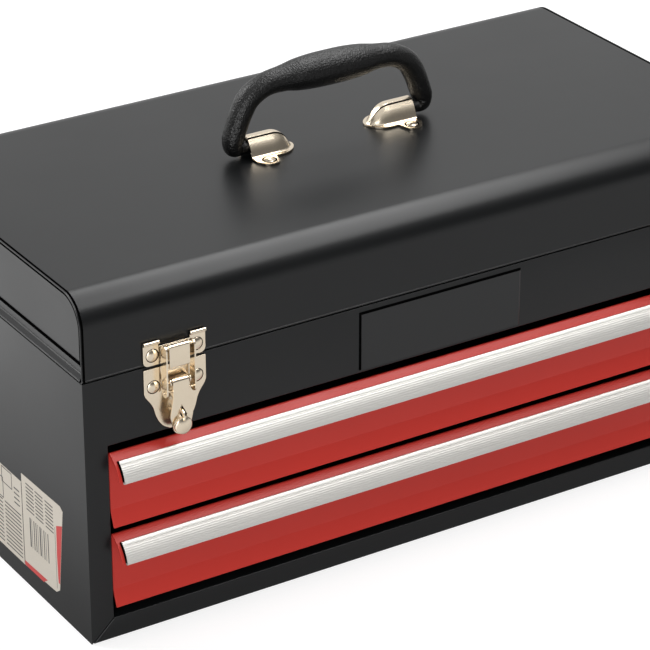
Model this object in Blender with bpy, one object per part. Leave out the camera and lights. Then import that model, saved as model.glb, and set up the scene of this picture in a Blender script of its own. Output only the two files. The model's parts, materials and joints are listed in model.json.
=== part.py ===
"""Portable steel tool box: a lidded top compartment over two drawers.

+X runs along the length, the front faces -Y and +Z is up. The origin is the centre of the underside.
"""

import math

import bmesh
import bpy
import numpy as np
from mathutils import Vector

# Driving dimensions, in metres
case_length = 0.510
case_depth = 0.265
seam_height = 0.1805
lid_height = 0.0541
sheet = 0.0010
seat_gap = 0.0003
overrun = 0.0020
weld_distance = 0.00003
merge_distance = 0.000003

# Case
post_width = 0.016
header_height = 0.0457
sill_height = 0.0143
mitre_gap = 0.0008
return_depth = 0.012
rim_width = 0.010
pan_flange = 0.015
panel_flange = 0.012
tray_flange = 0.012

# Drawers
drawer_count = 2
drawer_top_gap = 0.0053
drawer_gap = 0.0057
drawer_bottom_gap = 0.0085
front_side_gap = 0.0013
face_setback = 0.0020
crease_rise = 0.011
flare_reach = 0.0042
fold_radius = 0.0012
fold_turn = math.radians(125)
lip_reach = 0.0118
lip_drop = 0.0150
lip_bulge = 0.0017
front_return = 0.009
pan_rise = 0.003
pan_top_drop = 0.0075
pan_rear_room = 0.0265
pan_hem = 0.005
pan_side_room = 0.0075

# Drawer trim
trim_body = 0.0012
trim_end_gap = 0.0015
trim_bead_radius = 0.0014
trim_hook = 0.0012
flute_depth = 0.0004
flute_count = 8
trim_start_share = 0.27
trim_flutes_share = (0.48, 0.90)

# Drawer slides
channel_height = 0.017
channel_slot = 0.0068
channel_lip_reach = 0.0057
rail_neck = 0.0050
rail_clearance = 0.0006
rail_front = 0.0125

# Lid
lid_radius = 0.020
end_inset = 0.0020
joggle_height = 0.0125
joggle_slope = 0.0015
joggle_out = 0.0005
end_flange = 0.010
lid_hem = 0.010

# Piano hinge
leaf_end_inset = 0.020
leaf_height = 0.018
leaf_sheet = 0.0008
hinge_pin_radius = 0.0012
knuckle_count = 15
knuckle_gap = 0.0004
knuckle_relief = 0.0030
curl_turn = math.radians(280)

# Carry handle and its brackets
handle_half_span = 0.0724
handle_rise = 0.0417
pivot_rise = 0.0064
grip_radius = 0.0116
elbow_radius = 0.0068
elbow_end_radius = 0.0064
stub_radius = 0.0047
stub_length = 0.0150
bracket_inset = 0.0094
bracket_length = 0.0350
bracket_flange_half = 0.0117
bracket_sheet = 0.0011
ear_radius = 0.0075
ear_offset = 0.0152
ear_inset = 0.0085
dome_half = 0.0063
dome_height = 0.0134

# Draw latches: sizes along the front are measured from the latch's own centre line
latch_inset = 0.0623
latch_sheet = 0.0010
plate_half = 0.0214
catch_bottom_gap = 0.0004
catch_height = 0.0152
catch_corner = 0.0035
catch_roll_radius = 0.0013
ear_gap_half = 0.0106
hook_half = 0.0060
hook_reach = 0.0036
hook_lip = 0.0016
hook_drop = 0.0032
base_top_gap = 0.0012
base_side_height = 0.0160
base_height = 0.0441
lever_axis_out = 0.0060
lever_axis_drop = 0.0110
lever_half = 0.0055
lever_wide_half = 0.0078
lever_nose_half = 0.0063
lever_length = 0.0353
nose_dome_height = 0.0022
lever_plate_out = 0.0016
lever_roll_radius = 0.0026
cheek_depth = 0.0040
lever_pin_radius = 0.0010
pin_bore_gap = 0.0003
lug_half = 0.0062
bail_axis_drop = 0.0060
bail_pin_radius = 0.0009
bail_half = 0.0092
bail_arm_depth = 0.0066
bail_top = 0.0255
bail_bar_radius = 0.0011
bail_bar_drop = 0.0022
tongue_half = 0.0070
tongue_roll_radius = 0.0017
tongue_height = 0.0137
slot_half_width = 0.0036
slot_half_height = 0.0076
slot_drop = 0.0228
staple_half_height = 0.0045
staple_thickness = 0.0012
staple_reach = 0.0125
staple_hole_radius = 0.0021

# Shares of the sizes named beside them, chosen by hand
# (x of the half span, height of the rise, radius of the grip's)
handle_leg_shares = (
    (0.965, 0.331, 0.526),
    (0.914, 0.559, 0.560),
    (0.829, 0.796, 0.612),
    (0.667, 0.954, 0.638),
    (0.483, 0.993, 0.741),
    (0.338, 0.998, 0.897),
    (0.166, 1.000, 0.983),
    (0.000, 1.000, 1.000),
)
# (place from the bracket's outer end to its tip, height of the dome, half width of the dome)
dome_station_shares = (
    (0.00, 1.00, 1.00),
    (0.46, 1.00, 1.00),
    (0.56, 0.97, 0.98),
    (0.65, 0.88, 0.93),
    (0.72, 0.74, 0.84),
    (0.78, 0.56, 0.72),
    (0.83, 0.36, 0.58),
    (0.87, 0.16, 0.44),
)
# (half width of the plate, height from the plate's lower end to the end of its straight sides)
base_outline_shares = (
    (1.00, 1.000),
    (0.95, 0.900),
    (0.80, 0.740),
    (0.71, 0.600),
    (0.65, 0.430),
    (0.55, 0.260),
    (0.40, 0.120),
    (0.20, 0.030),
)
# (height of the lever's nose dome, radius of the nose)
nose_dome_shares = (
    (0.00, 0.97),
    (0.55, 0.90),
    (0.82, 0.66),
    (1.00, 0.25),
)
dome_power = 0.78

# How finely round shapes are drawn
arc_steps = 8
corner_steps = 4
fold_steps = 5
bead_steps = 6
curl_steps = 10
elbow_steps = 6
leg_steps = 3
flank_steps = 3
trim_line_steps = 48
trim_back_steps = 8
tube_sides = 12
pin_sides = 12
sharp_above = math.radians(35)
sharp_above_on_folds = math.radians(20)
sharp_above_on_curls = math.radians(50)

# Places worked out from the driving dimensions
half_length = case_length / 2
half_depth = case_depth / 2
lid_top = seam_height + lid_height
header_bottom = seam_height - header_height
drawer_apex = header_bottom - drawer_top_gap
drawers_foot = sill_height + drawer_bottom_gap
drawer_pitch = (drawer_apex - drawers_foot + drawer_gap) / drawer_count
front_height = drawer_pitch - drawer_gap
pan_height = front_height - pan_rise - pan_top_drop
pan_depth = case_depth - face_setback - pan_rear_room - sheet / 2 - seat_gap
leaf_length = case_length - 2 * leaf_end_inset
opening_half = half_length - post_width
inner_half = half_length - sheet - seat_gap
rear_inner = half_depth - sheet - seat_gap
lid_bottom = seam_height + seat_gap
hinge_y = half_depth + seat_gap + leaf_sheet + hinge_pin_radius + seat_gap
hinge_z = seam_height + seat_gap / 2
pivot_z = lid_top + pivot_rise
bracket_outer = handle_half_span - bracket_inset
bracket_tip = bracket_outer - bracket_length
stub_end = bracket_outer - stub_length
latch_x = half_length - latch_inset
lever_axis_z = seam_height - lever_axis_drop
base_top = seam_height - base_top_gap
base_bottom = base_top - base_height
lever_nose_bottom = lever_axis_z - lever_length
slot_centre = lever_axis_z - slot_drop


def clear_scene():
    for thing in list(bpy.data.objects):
        bpy.data.objects.remove(thing, do_unlink=True)


def make_finish(name, colour, roughness, metallic):
    finish = bpy.data.materials.new(name)
    finish.use_nodes = True
    shader = finish.node_tree.nodes["Principled BSDF"]
    shader.inputs["Base Color"].default_value = (*colour, 1.0)
    shader.inputs["Roughness"].default_value = roughness
    shader.inputs["Metallic"].default_value = metallic
    return finish


def make_axis(name, place, parent=None):
    """An empty on a joint's axis, which carries the pieces that move with it."""
    axis = bpy.data.objects.new(name, None)
    axis.empty_display_size = grip_radius
    bpy.context.scene.collection.objects.link(axis)
    axis["place"] = place
    origin = Vector(parent["place"]) if parent else Vector()
    axis.location = Vector(place) - origin
    axis.parent = parent
    return axis


def add_object(name, mesh, finish, axis):
    """Makes an object of a bmesh drawn in the box's own frame, with its origin on its body's axis."""
    origin = Vector(axis["place"]) if axis else Vector()
    bmesh.ops.translate(mesh, vec=-origin, verts=mesh.verts)
    data = bpy.data.meshes.new(name)
    mesh.to_mesh(data)
    mesh.free()
    data.materials.append(finish)
    thing = bpy.data.objects.new(name, data)
    bpy.context.scene.collection.objects.link(thing)
    thing.parent = axis
    return thing


def folded_sheet(name, panels, thickness, face_out, finish, axis=None, side=-1.0):
    """A sheet of flat panels that share their bend lines. The first panel faces face_out."""
    mesh = bmesh.new()
    corners = {}
    for panel in panels:
        loop = []
        for corner in panel:
            key = tuple(round(value / weld_distance) for value in corner)
            if key not in corners:
                corners[key] = mesh.verts.new(corner)
            loop.append(corners[key])
        mesh.faces.new(loop)
    bmesh.ops.recalc_face_normals(mesh, faces=mesh.faces)
    mesh.faces.ensure_lookup_table()
    if mesh.faces[0].normal.dot(Vector(face_out)) < 0:
        bmesh.ops.reverse_faces(mesh, faces=mesh.faces)
    thing = add_object(name, mesh, finish, axis)
    wall = thing.modifiers.new("Sheet", "SOLIDIFY")
    wall.solidify_mode = "NON_MANIFOLD"
    wall.nonmanifold_thickness_mode = "CONSTRAINTS"
    wall.nonmanifold_boundary_mode = "FLAT"
    wall.nonmanifold_merge_threshold = merge_distance
    wall.thickness = thickness
    wall.offset = side
    return thing


def upright(x, outline):
    """A panel across the box at x, from (y, z) points."""
    return [(x, y, z) for y, z in outline]


def flat(z, outline):
    """A level panel at the height z, from (x, y) points."""
    return [(x, y, z) for x, y in outline]


def band(left, right, first, second):
    """A panel from left to right between two (y, z) points."""
    return [(left, *first), (right, *first), (right, *second), (left, *second)]


def walls(corners, low, high):
    """Upright panels round a tray, one for each side of its plan."""
    panels = []
    for first, second in zip(corners, corners[1:] + corners[:1]):
        panels.append([(*first, low), (*second, low), (*second, high), (*first, high)])
    return panels


def prism_mesh(outline, along, low, high):
    """A straight solid. The outline's points are the two other axes' values, in their order."""
    mesh = bmesh.new()
    rings = []
    for level in (low, high):
        rings.append([mesh.verts.new(in_space(point, along, level)) for point in outline])
    count = len(outline)
    mesh.faces.new(rings[0])
    mesh.faces.new(rings[1])
    for i in range(count):
        j = (i + 1) % count
        mesh.faces.new((rings[0][i], rings[0][j], rings[1][j], rings[1][i]))
    bmesh.ops.recalc_face_normals(mesh, faces=mesh.faces)
    return mesh


def in_space(point, along, level):
    first, second = point
    if along == "X":
        return (level, first, second)
    if along == "Y":
        return (first, level, second)
    return (first, second, level)


def loft_mesh(rings):
    """A closed skin through rings of equally many points, with a cap at each end."""
    mesh = bmesh.new()
    loops = [[mesh.verts.new(point) for point in ring] for ring in rings]
    count = len(loops[0])
    for first, second in zip(loops, loops[1:]):
        for i in range(count):
            j = (i + 1) % count
            mesh.faces.new((first[i], first[j], second[j], second[i]))
    mesh.faces.new(loops[0])
    mesh.faces.new(loops[-1])
    bmesh.ops.recalc_face_normals(mesh, faces=mesh.faces)
    return mesh


def operand(name, mesh, target):
    """A helper solid for a Boolean on target, hidden from the result."""
    guide = add_object(name, mesh, target.data.materials[0], target.parent)
    guide.hide_render = True
    guide.display_type = "WIRE"
    return guide


def combine(target, operation, name, mesh):
    step = target.modifiers.new(name, "BOOLEAN")
    step.operation = operation
    step.object = operand(target.name + "_" + name, mesh, target)


def fuse(target, name, mesh):
    combine(target, "UNION", name, mesh)


def cut(target, name, mesh):
    combine(target, "DIFFERENCE", name, mesh)


def smooth(thing, limit=sharp_above):
    thing.data.shade_smooth()
    thing.data.set_sharp_from_angle(angle=limit)


def arc(centre, radius, start, end, steps):
    """Points on an arc of radius, or of (across, up) radii, both ends included."""
    across, up = radius if isinstance(radius, tuple) else (radius, radius)
    angles = [start + (end - start) * i / steps for i in range(steps + 1)]
    return [
        (centre[0] + across * math.cos(angle), centre[1] + up * math.sin(angle))
        for angle in angles
    ]


def circle(centre, radius, sides=pin_sides):
    return arc(centre, radius, 0, 2 * math.pi, sides)[:-1]


def bulged(start, end, bulge, steps):
    """A shallow arc between two points, which bulges to the left of the way there."""
    way = Vector(end) - Vector(start)
    left = Vector((-way.y, way.x)).normalized()
    points = []
    for i in range(steps + 1):
        share = i / steps
        points.append(Vector(start) + way * share + left * bulge * 4 * share * (1 - share))
    return points


def smooth_path(points, steps):
    """A Catmull-Rom curve through rows of numbers, with steps between each two."""
    rows = np.array(points)
    rows = np.vstack([2 * rows[0] - rows[1], rows, 2 * rows[-1] - rows[-2]])
    found = []
    for i in range(1, len(rows) - 2):
        before, first, second, after = rows[i - 1 : i + 3]
        for step in range(steps):
            t = step / steps
            found.append(
                first
                + (second - before) * t / 2
                + (before - 5 * first / 2 + 2 * second - after / 2) * t**2
                + (3 * first - before - 3 * second + after) * t**3 / 2
            )
    found.append(rows[-2])
    return found


def rod(name, radius, along_low, along_high, across, finish, axis=None):
    """A round pin along X, with its centre at across = (y, z)."""
    thing = add_object(
        name, prism_mesh(circle(across, radius), "X", along_low, along_high), finish, axis
    )
    smooth(thing)
    return thing


def make_case_wrap(paint):
    """One folded sheet: the two sides, the front posts and header, their returns and the top rim."""
    front = -half_depth
    behind = front + return_depth
    post_foot = sill_height + mitre_gap
    frame = [
        (-half_length, 0),
        (-opening_half, post_foot),
        (-opening_half, header_bottom),
        (opening_half, header_bottom),
        (opening_half, post_foot),
        (half_length, 0),
        (half_length, seam_height),
        (-half_length, seam_height),
    ]
    side = [(front, 0), (half_depth, 0), (half_depth, seam_height), (front, seam_height)]
    post_return = [(front, post_foot), (front, header_bottom), (behind, header_bottom), (behind, post_foot)]
    rim_x = half_length - rim_width
    rim_y = half_depth - rim_width
    panels = [[(x, front, z) for x, z in frame]]
    for way in (-1, 1):
        edge = way * half_length
        rim = [(edge, front), (edge, half_depth), (way * rim_x, rim_y), (way * rim_x, -rim_y)]
        panels.append(upright(edge, side))
        panels.append(flat(seam_height, rim))
        panels.append(upright(way * opening_half, post_return))
    front_rim = [(-half_length, front), (half_length, front), (rim_x, -rim_y), (-rim_x, -rim_y)]
    panels.append(flat(seam_height, front_rim))
    panels.append(band(-opening_half, opening_half, (front, header_bottom), (behind, header_bottom)))
    return folded_sheet("case_wrap", panels, sheet, (0, -1, 0), paint)


def make_base_pan(paint):
    """The floor sheet, with its flanges turned up; the front one shows and has a return."""
    front = -half_depth
    behind = front + return_depth
    side_front = front + sheet + 2 * seat_gap
    sill_half = opening_half - seat_gap
    floor = [
        (-inner_half, front),
        (inner_half, front),
        (inner_half, side_front),
        (inner_half, rear_inner),
        (-inner_half, rear_inner),
        (-inner_half, side_front),
    ]
    sill = [
        (-inner_half, front, 0),
        (inner_half, front, 0),
        (sill_half, front, sill_height),
        (-sill_half, front, sill_height),
    ]
    side = [(side_front, 0), (rear_inner, 0), (rear_inner, pan_flange), (side_front, pan_flange)]
    panels = [flat(0, floor), sill]
    panels.append(band(-sill_half, sill_half, (front, sill_height), (behind, sill_height)))
    panels.append(band(-inner_half, inner_half, (rear_inner, 0), (rear_inner, pan_flange)))
    panels.append(upright(-inner_half, side))
    panels.append(upright(inner_half, side))
    return folded_sheet("base_pan", panels, sheet, (0, 0, -1), paint)


def make_back_panel(paint):
    """The back sheet, flanged forward inside the sides and, as a rim, along the top."""
    low = pan_flange + seat_gap
    high = seam_height - sheet - seat_gap
    side_y = half_depth - panel_flange
    rim_y = half_depth - rim_width
    rim_half = inner_half - rim_width
    plate = [
        (-inner_half, 0),
        (inner_half, 0),
        (inner_half, low),
        (inner_half, high),
        (inner_half, seam_height),
        (-inner_half, seam_height),
        (-inner_half, high),
        (-inner_half, low),
    ]
    rim = [(-inner_half, half_depth), (inner_half, half_depth), (rim_half, rim_y), (-rim_half, rim_y)]
    side = [(half_depth, low), (half_depth, high), (side_y, high), (side_y, low)]
    panels = [[(x, half_depth, z) for x, z in plate], flat(seam_height, rim)]
    panels.append(upright(-inner_half, side))
    panels.append(upright(inner_half, side))
    return folded_sheet("back_panel", panels, sheet, (0, 1, 0), paint)


def make_tray_floor(paint):
    """The floor of the top compartment, a shallow tray on the header's return."""
    half = inner_half - sheet - seat_gap
    low = header_bottom + sheet + seat_gap
    corners = [(-half, -rear_inner), (half, -rear_inner), (half, rear_inner), (-half, rear_inner)]
    panels = [flat(low, corners)] + walls(corners, low, low + tray_flange)
    return folded_sheet("tray_floor", panels, sheet, (0, 0, -1), paint)


def drawer_base(index):
    """Height of the lowest edge of a drawer's front; index 0 is the upper drawer."""
    return drawer_apex - index * drawer_pitch - front_height


def slide_height(index):
    return drawer_base(index) + pan_rise + pan_height / 2


def along_side(way, front, rear, first, second):
    """A panel from front to rear between two (x, z) points, on the left for a way of -1."""
    (x1, z1), (x2, z2) = first, second
    ends = ((x1, front, z1), (x1, rear, z1), (x2, rear, z2), (x2, front, z2))
    return [(way * x, y, z) for x, y, z in ends]


def make_channel(name, index, way, steel):
    """A fixed C channel: its web laps the post's return in front and is tabbed to the back panel."""
    middle = slide_height(index)
    low = middle - channel_height / 2
    high = middle + channel_height / 2
    slot = channel_slot / 2
    web = opening_half + 2 * sheet + seat_gap
    lips = web - channel_lip_reach
    front_tab = -half_depth + sheet + 2 * seat_gap
    front = -half_depth + return_depth + seat_gap
    rear = rear_inner - sheet
    tab = inner_half - sheet - seat_gap
    plate = [(front_tab, low), (front, low), (rear, low), (rear, high), (front, high), (front_tab, high)]
    panels = [
        upright(way * web, plate),
        along_side(way, front, rear, (web, low), (lips, low)),
        along_side(way, front, rear, (web, high), (lips, high)),
        along_side(way, front, rear, (lips, low), (lips, middle - slot)),
        along_side(way, front, rear, (lips, high), (lips, middle + slot)),
        [(way * x, rear, z) for x, z in ((web, low), (tab, low), (tab, high), (web, high))],
    ]
    return folded_sheet(name, panels, sheet, (way, 0, 0), steel)


def make_rail(name, index, way, steel, axis):
    """A hat section on the drawer's side, whose brims run inside the channel."""
    middle = slide_height(index)
    crown = opening_half - pan_side_room + seat_gap
    brim = opening_half - rail_clearance - sheet
    neck = rail_neck / 2
    reach = channel_height / 2 - sheet - seat_gap
    front = -half_depth + rail_front
    rear = -half_depth + face_setback + sheet + pan_depth
    section = [
        (brim, middle - reach),
        (brim, middle - neck),
        (crown, middle - neck),
        (crown, middle + neck),
        (brim, middle + neck),
        (brim, middle + reach),
    ]
    pairs = zip(section, section[1:])
    panels = [along_side(way, front, rear, first, second) for first, second in pairs]
    return folded_sheet(name, panels, sheet, (-way, 0, 0), steel, axis)


def make_drawer_pan(name, index, paint, axis):
    """The box behind the drawer's front, hemmed inward along its sides and its rear."""
    half = opening_half - pan_side_room
    low = drawer_base(index) + pan_rise
    high = low + pan_height
    front = -half_depth + face_setback + sheet / 2 + seat_gap
    rear = front + pan_depth
    corners = [(-half, front), (half, front), (half, rear), (-half, rear)]
    hem_half = half - pan_hem
    hem_rear = rear - pan_hem
    panels = [flat(low, corners)] + walls(corners, low, high)
    panels.append(flat(high, [(half, front), (half, rear), (hem_half, hem_rear), (hem_half, front)]))
    panels.append(flat(high, [(-half, front), (-half, rear), (-hem_half, hem_rear), (-hem_half, front)]))
    panels.append(flat(high, [(half, rear), (-half, rear), (-hem_half, hem_rear), (hem_half, hem_rear)]))
    return folded_sheet(name, panels, sheet, (0, 0, -1), paint, axis)


def lip_fold(index):
    """The fold at the top of a drawer's front: the centre of its (y, z) arc."""
    apex = drawer_apex - index * drawer_pitch
    return (-half_depth + face_setback - fold_radius, apex - sheet / 2 - fold_radius)


def lip_line(index, steps=arc_steps):
    """Middle line of the lip of a drawer's front, from the end of the fold down to its free edge."""
    apex = drawer_apex - index * drawer_pitch
    start = arc(lip_fold(index), fold_radius, 0, fold_turn, 1)[-1]
    end = (-half_depth - lip_reach + sheet / 2, apex - lip_drop)
    return bulged(start, end, -lip_bulge, steps)


def make_drawer_front(name, index, paint, axis):
    """The folded front: flared foot, upright face, fold at the top and convex lip of the finger pull."""
    half = opening_half - front_side_gap
    foot = drawer_base(index)
    face = -half_depth + face_setback
    fold = arc(lip_fold(index), fold_radius, 0, fold_turn, fold_steps)
    crease = (face, foot + crease_rise)
    section = [crease] + fold + [tuple(point) for point in lip_line(index)[1:]]
    panels = [band(-half, half, first, second) for first, second in zip(section, section[1:])]
    panels.append(band(-half, half, (face - flare_reach, foot), crease))
    face_top = fold[0][1]
    behind = face + front_return
    side = [crease, (face, face_top), (behind, face_top), (behind, crease[1])]
    panels.append(upright(-half, side))
    panels.append(upright(half, side))
    thing = folded_sheet(name, panels, sheet, (0, -1, 0), paint, axis, side=0.0)
    smooth(thing, sharp_above_on_folds)
    return thing


def outward(way):
    """The unit normal on the outer side of the lip, for a direction down along it."""
    return Vector((way.y, -way.x)).normalized()


def make_drawer_trim(name, index, aluminium, axis):
    """An extruded strip over the lip: a bead along the top, flutes, and a hooked bead below."""
    half = opening_half - front_side_gap - trim_end_gap
    steps = trim_line_steps
    line = lip_line(index, steps)
    first = round(trim_start_share * steps)
    flutes_from, flutes_to = (round(share * steps) for share in trim_flutes_share)
    inner = sheet / 2 + seat_gap
    body = inner + trim_body

    def offset(i, distance):
        before, after = line[max(i - 1, 0)], line[min(i + 1, steps)]
        return line[i] + outward(after - before) * distance

    outline = []
    bead_centre = offset(first + 2, inner + trim_bead_radius)
    way = (line[first + 3] - line[first + 1]).normalized()
    for i in range(bead_steps + 1):
        angle = math.pi * i / bead_steps
        turned = outward(way) * math.sin(angle) - way * math.cos(angle)
        outline.append(bead_centre + turned * trim_bead_radius)
    span = (flutes_to - flutes_from) // flute_count
    for flute in range(flute_count):
        start = flutes_from + (flutes_to - flutes_from) * flute // flute_count
        outline.append(offset(start, body))
        outline.append(offset(start + span // 2, body - flute_depth))
    outline.append(offset(flutes_to, body))
    outline.append(offset(steps - 1, body + flute_depth))
    end_way = (line[steps] - line[steps - 1]).normalized()
    out = outward(end_way)
    for along, across in (
        (trim_hook, body),
        (trim_hook + seat_gap, inner),
        (trim_hook + seat_gap, -inner),
        (seat_gap, -inner),
        (seat_gap, inner),
    ):
        outline.append(line[steps] + end_way * along + out * across)
    for i in range(steps - bead_steps, first + 2, -trim_back_steps):
        outline.append(offset(i, inner))
    strip = prism_mesh([tuple(point) for point in outline], "X", -half, half)
    thing = add_object(name, strip, aluminium, axis)
    smooth(thing)
    return thing


def lid_section(half, top, radius, bottom):
    """The lid's outline across the box, from the front's lower edge over the top to the back's."""
    front = arc((-half + radius, top - radius), radius, math.pi, math.pi / 2, arc_steps)
    rear = [(-y, z) for y, z in reversed(front)]
    return [(-half, bottom)] + front + rear + [(half, bottom)]


def make_lid_shell(paint, axis):
    """One sheet bent over the front and back edges, hemmed inward along both lower edges."""
    section = lid_section(half_depth, lid_top, lid_radius, lid_bottom)
    pairs = zip(section, section[1:])
    panels = [band(-half_length, half_length, first, second) for first, second in pairs]
    hem_half = half_length - joggle_height - end_inset
    front_split = [(x, -half_depth, lid_bottom) for x in (-hem_half, hem_half)]
    rear_split = [(x, half_depth, lid_bottom) for x in (hem_half, -hem_half)]
    panels[0][1:1] = front_split
    panels[-1][3:3] = rear_split
    for way in (-1, 1):
        edge = way * half_depth
        hem = way * (half_depth - lid_hem)
        panels.append(band(-hem_half, hem_half, (edge, lid_bottom), (hem, lid_bottom)))
    thing = folded_sheet("lid_shell", panels, sheet, (0, -1, 0), paint, axis)
    smooth(thing, sharp_above_on_folds)
    return thing


def make_lid_end(name, way, paint, axis):
    """An end panel set in behind the shell's edge, flanged inside it and joggled out along the bottom."""
    half = half_depth - sheet - seat_gap
    hem_half = half - sheet - seat_gap
    top = lid_top - sheet - seat_gap
    step_low = seam_height + joggle_height
    step_top = step_low + joggle_slope
    plate = way * (half_length - end_inset)
    strip = way * (half_length + joggle_out)
    hem = strip - way * end_flange
    flange = plate - way * end_flange
    section = lid_section(half, top, lid_radius - sheet - seat_gap, step_top)
    slope = [(plate, -half), (plate, half), (strip, half), (strip, -half)]
    heights = (step_top, step_top, step_low, step_low)
    foot = [
        (-half, step_low),
        (half, step_low),
        (half, lid_bottom),
        (hem_half, lid_bottom),
        (-hem_half, lid_bottom),
        (-half, lid_bottom),
    ]
    panels = [upright(plate, section), upright(strip, foot)]
    panels.append([(x, y, z) for (x, y), z in zip(slope, heights)])
    hem_plan = [(strip, hem_half), (strip, -hem_half), (hem, -hem_half), (hem, hem_half)]
    panels.append(flat(lid_bottom, hem_plan))
    panels += [band(plate, flange, first, second) for first, second in zip(section, section[1:])]
    return folded_sheet(name, panels, sheet, (way, 0, 0), paint, axis)


def make_hinge_leaf(name, way, owns_first, steel, axis=None):
    """A leaf whose edge is rolled round the pin into every other knuckle. way is +1 for the lid's leaf."""
    line = half_depth + seat_gap + leaf_sheet / 2
    curl_radius = hinge_y - line
    half = leaf_length / 2
    joins = [leaf_length * i / knuckle_count - half for i in range(knuckle_count)] + [half]
    radii = (curl_radius, -way * curl_radius)
    curl = arc((hinge_y, hinge_z), radii, math.pi, math.pi - curl_turn, curl_steps)
    relief = hinge_z + way * knuckle_relief
    edge = hinge_z + way * leaf_height
    profile = [(line, relief)] + curl
    knuckles = []
    marks = {-half, half}
    for i in range(0 if owns_first else 1, knuckle_count, 2):
        left = joins[i] + (knuckle_gap / 2 if i else 0)
        right = joins[i + 1] - (knuckle_gap / 2 if i < knuckle_count - 1 else 0)
        marks |= {left, right}
        knuckles += [band(left, right, first, second) for first, second in zip(profile, profile[1:])]
    plate = [(x, line, relief) for x in sorted(marks)]
    plate += [(half, line, edge), (-half, line, edge)]
    thing = folded_sheet(name, [plate] + knuckles, leaf_sheet, (0, 1, 0), steel, axis, side=0.0)
    smooth(thing, sharp_above_on_curls)
    return thing


def handle_ring(station):
    """A ring round the handle's middle line, square to the way it turns there."""
    x, z, radius, turn = station
    ring = []
    for across, y in circle((0, 0), radius, tube_sides):
        ring.append((x - across * math.sin(turn), y, z + across * math.cos(turn)))
    return ring


def make_handle(plastic, axis):
    """The moulded handle: thick in the middle, with feet that turn in to the brackets."""
    elbow_x = handle_half_span - elbow_radius
    elbow_z = pivot_z + elbow_radius
    stations = [(stub_end, pivot_z, stub_radius, 0.0), (bracket_outer, pivot_z, stub_radius, 0.0)]
    for i in range(elbow_steps + 1):
        turn = math.pi / 2 * i / elbow_steps
        x = elbow_x + elbow_radius * math.sin(turn)
        z = elbow_z - elbow_radius * math.cos(turn)
        stations.append((x, z, stub_radius + (elbow_end_radius - stub_radius) * i / elbow_steps, turn))
    leg = [(handle_half_span, elbow_z, elbow_end_radius)]
    for x_share, z_share, radius_share in handle_leg_shares:
        x = handle_half_span * x_share
        leg.append((x, pivot_z + handle_rise * z_share, grip_radius * radius_share))
    curve = smooth_path(leg, leg_steps)
    for before, here, after in zip(curve, curve[1:], curve[2:]):
        stations.append((*here, math.atan2(after[1] - before[1], after[0] - before[0])))
    stations.append((*curve[-1], math.pi))
    right = [handle_ring(station) for station in stations]
    left = [[(-x, y, z) for x, y, z in ring] for ring in reversed(right[:-1])]
    thing = add_object("carry_handle", loft_mesh(right + left), plastic, axis)
    smooth(thing, sharp_above_on_curls)
    return thing


def bracket_outline(way):
    """The bracket's flange in plan: rounded tip, straight sides and an ear at each side."""
    tip_centre = bracket_tip + bracket_flange_half
    tip = arc((tip_centre, 0), bracket_flange_half, math.pi / 2, math.pi * 3 / 2, 2 * arc_steps)
    ear_centre = bracket_outer - ear_inset
    drop = math.asin((ear_offset - bracket_flange_half) / ear_radius)
    ear = arc((ear_centre, -ear_offset), ear_radius, math.pi - drop, 2 * math.pi, arc_steps)
    outer = ear_centre + ear_radius
    near = tip + ear + [(outer, -bracket_flange_half / 2)]
    far = [(x, -y) for x, y in reversed(near[len(tip) :])]
    return [(way * x, y) for x, y in near + far]


def dome_rings(way, wall, low):
    """Rings of the bracket's pressed dome, or of the hollow that leaves the given wall under it."""
    foot = lid_top + seat_gap
    steps = 2 * arc_steps
    rings = []
    for place, height, width in dome_station_shares:
        x = bracket_outer - place * bracket_length + (wall if place else overrun)
        half = dome_half * width - wall
        crest = foot + max(dome_height * height, 2 * wall) - wall
        ring = [(way * x, -half, low)]
        for i in range(1, steps):
            angle = math.pi * (1 - i / steps)
            across = math.copysign(abs(math.cos(angle)) ** dome_power, math.cos(angle))
            up = math.sin(angle) ** dome_power
            ring.append((way * x, half * across, foot + wall + (crest - foot - wall) * up))
        ring.append((way * x, half, low))
        rings.append(ring)
    if not wall:
        rings[0] = [(way * bracket_outer, y, z) for _, y, z in rings[0]]
    return rings


def make_bracket(name, way, nickel, axis):
    """A pressed bracket: riveting flange, and a dome open at its outer end for the handle's foot."""
    foot = lid_top + seat_gap
    flange = prism_mesh(bracket_outline(way), "Z", foot, foot + bracket_sheet)
    thing = add_object(name, flange, nickel, axis)
    fuse(thing, "dome", loft_mesh(dome_rings(way, 0.0, foot + bracket_sheet / 3)))
    cut(thing, "hollow", loft_mesh(dome_rings(way, bracket_sheet, foot - overrun)))
    smooth(thing)
    return thing


def latch_plane(out):
    """The depth of a point that stands out from the front by the given distance."""
    return -half_depth - out


def lever_axis_place(way):
    return (way * latch_x, latch_plane(lever_axis_out), lever_axis_z)


def bail_axis_place(way):
    x, y, z = lever_axis_place(way)
    return (x, y, z - bail_axis_drop)


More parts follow.
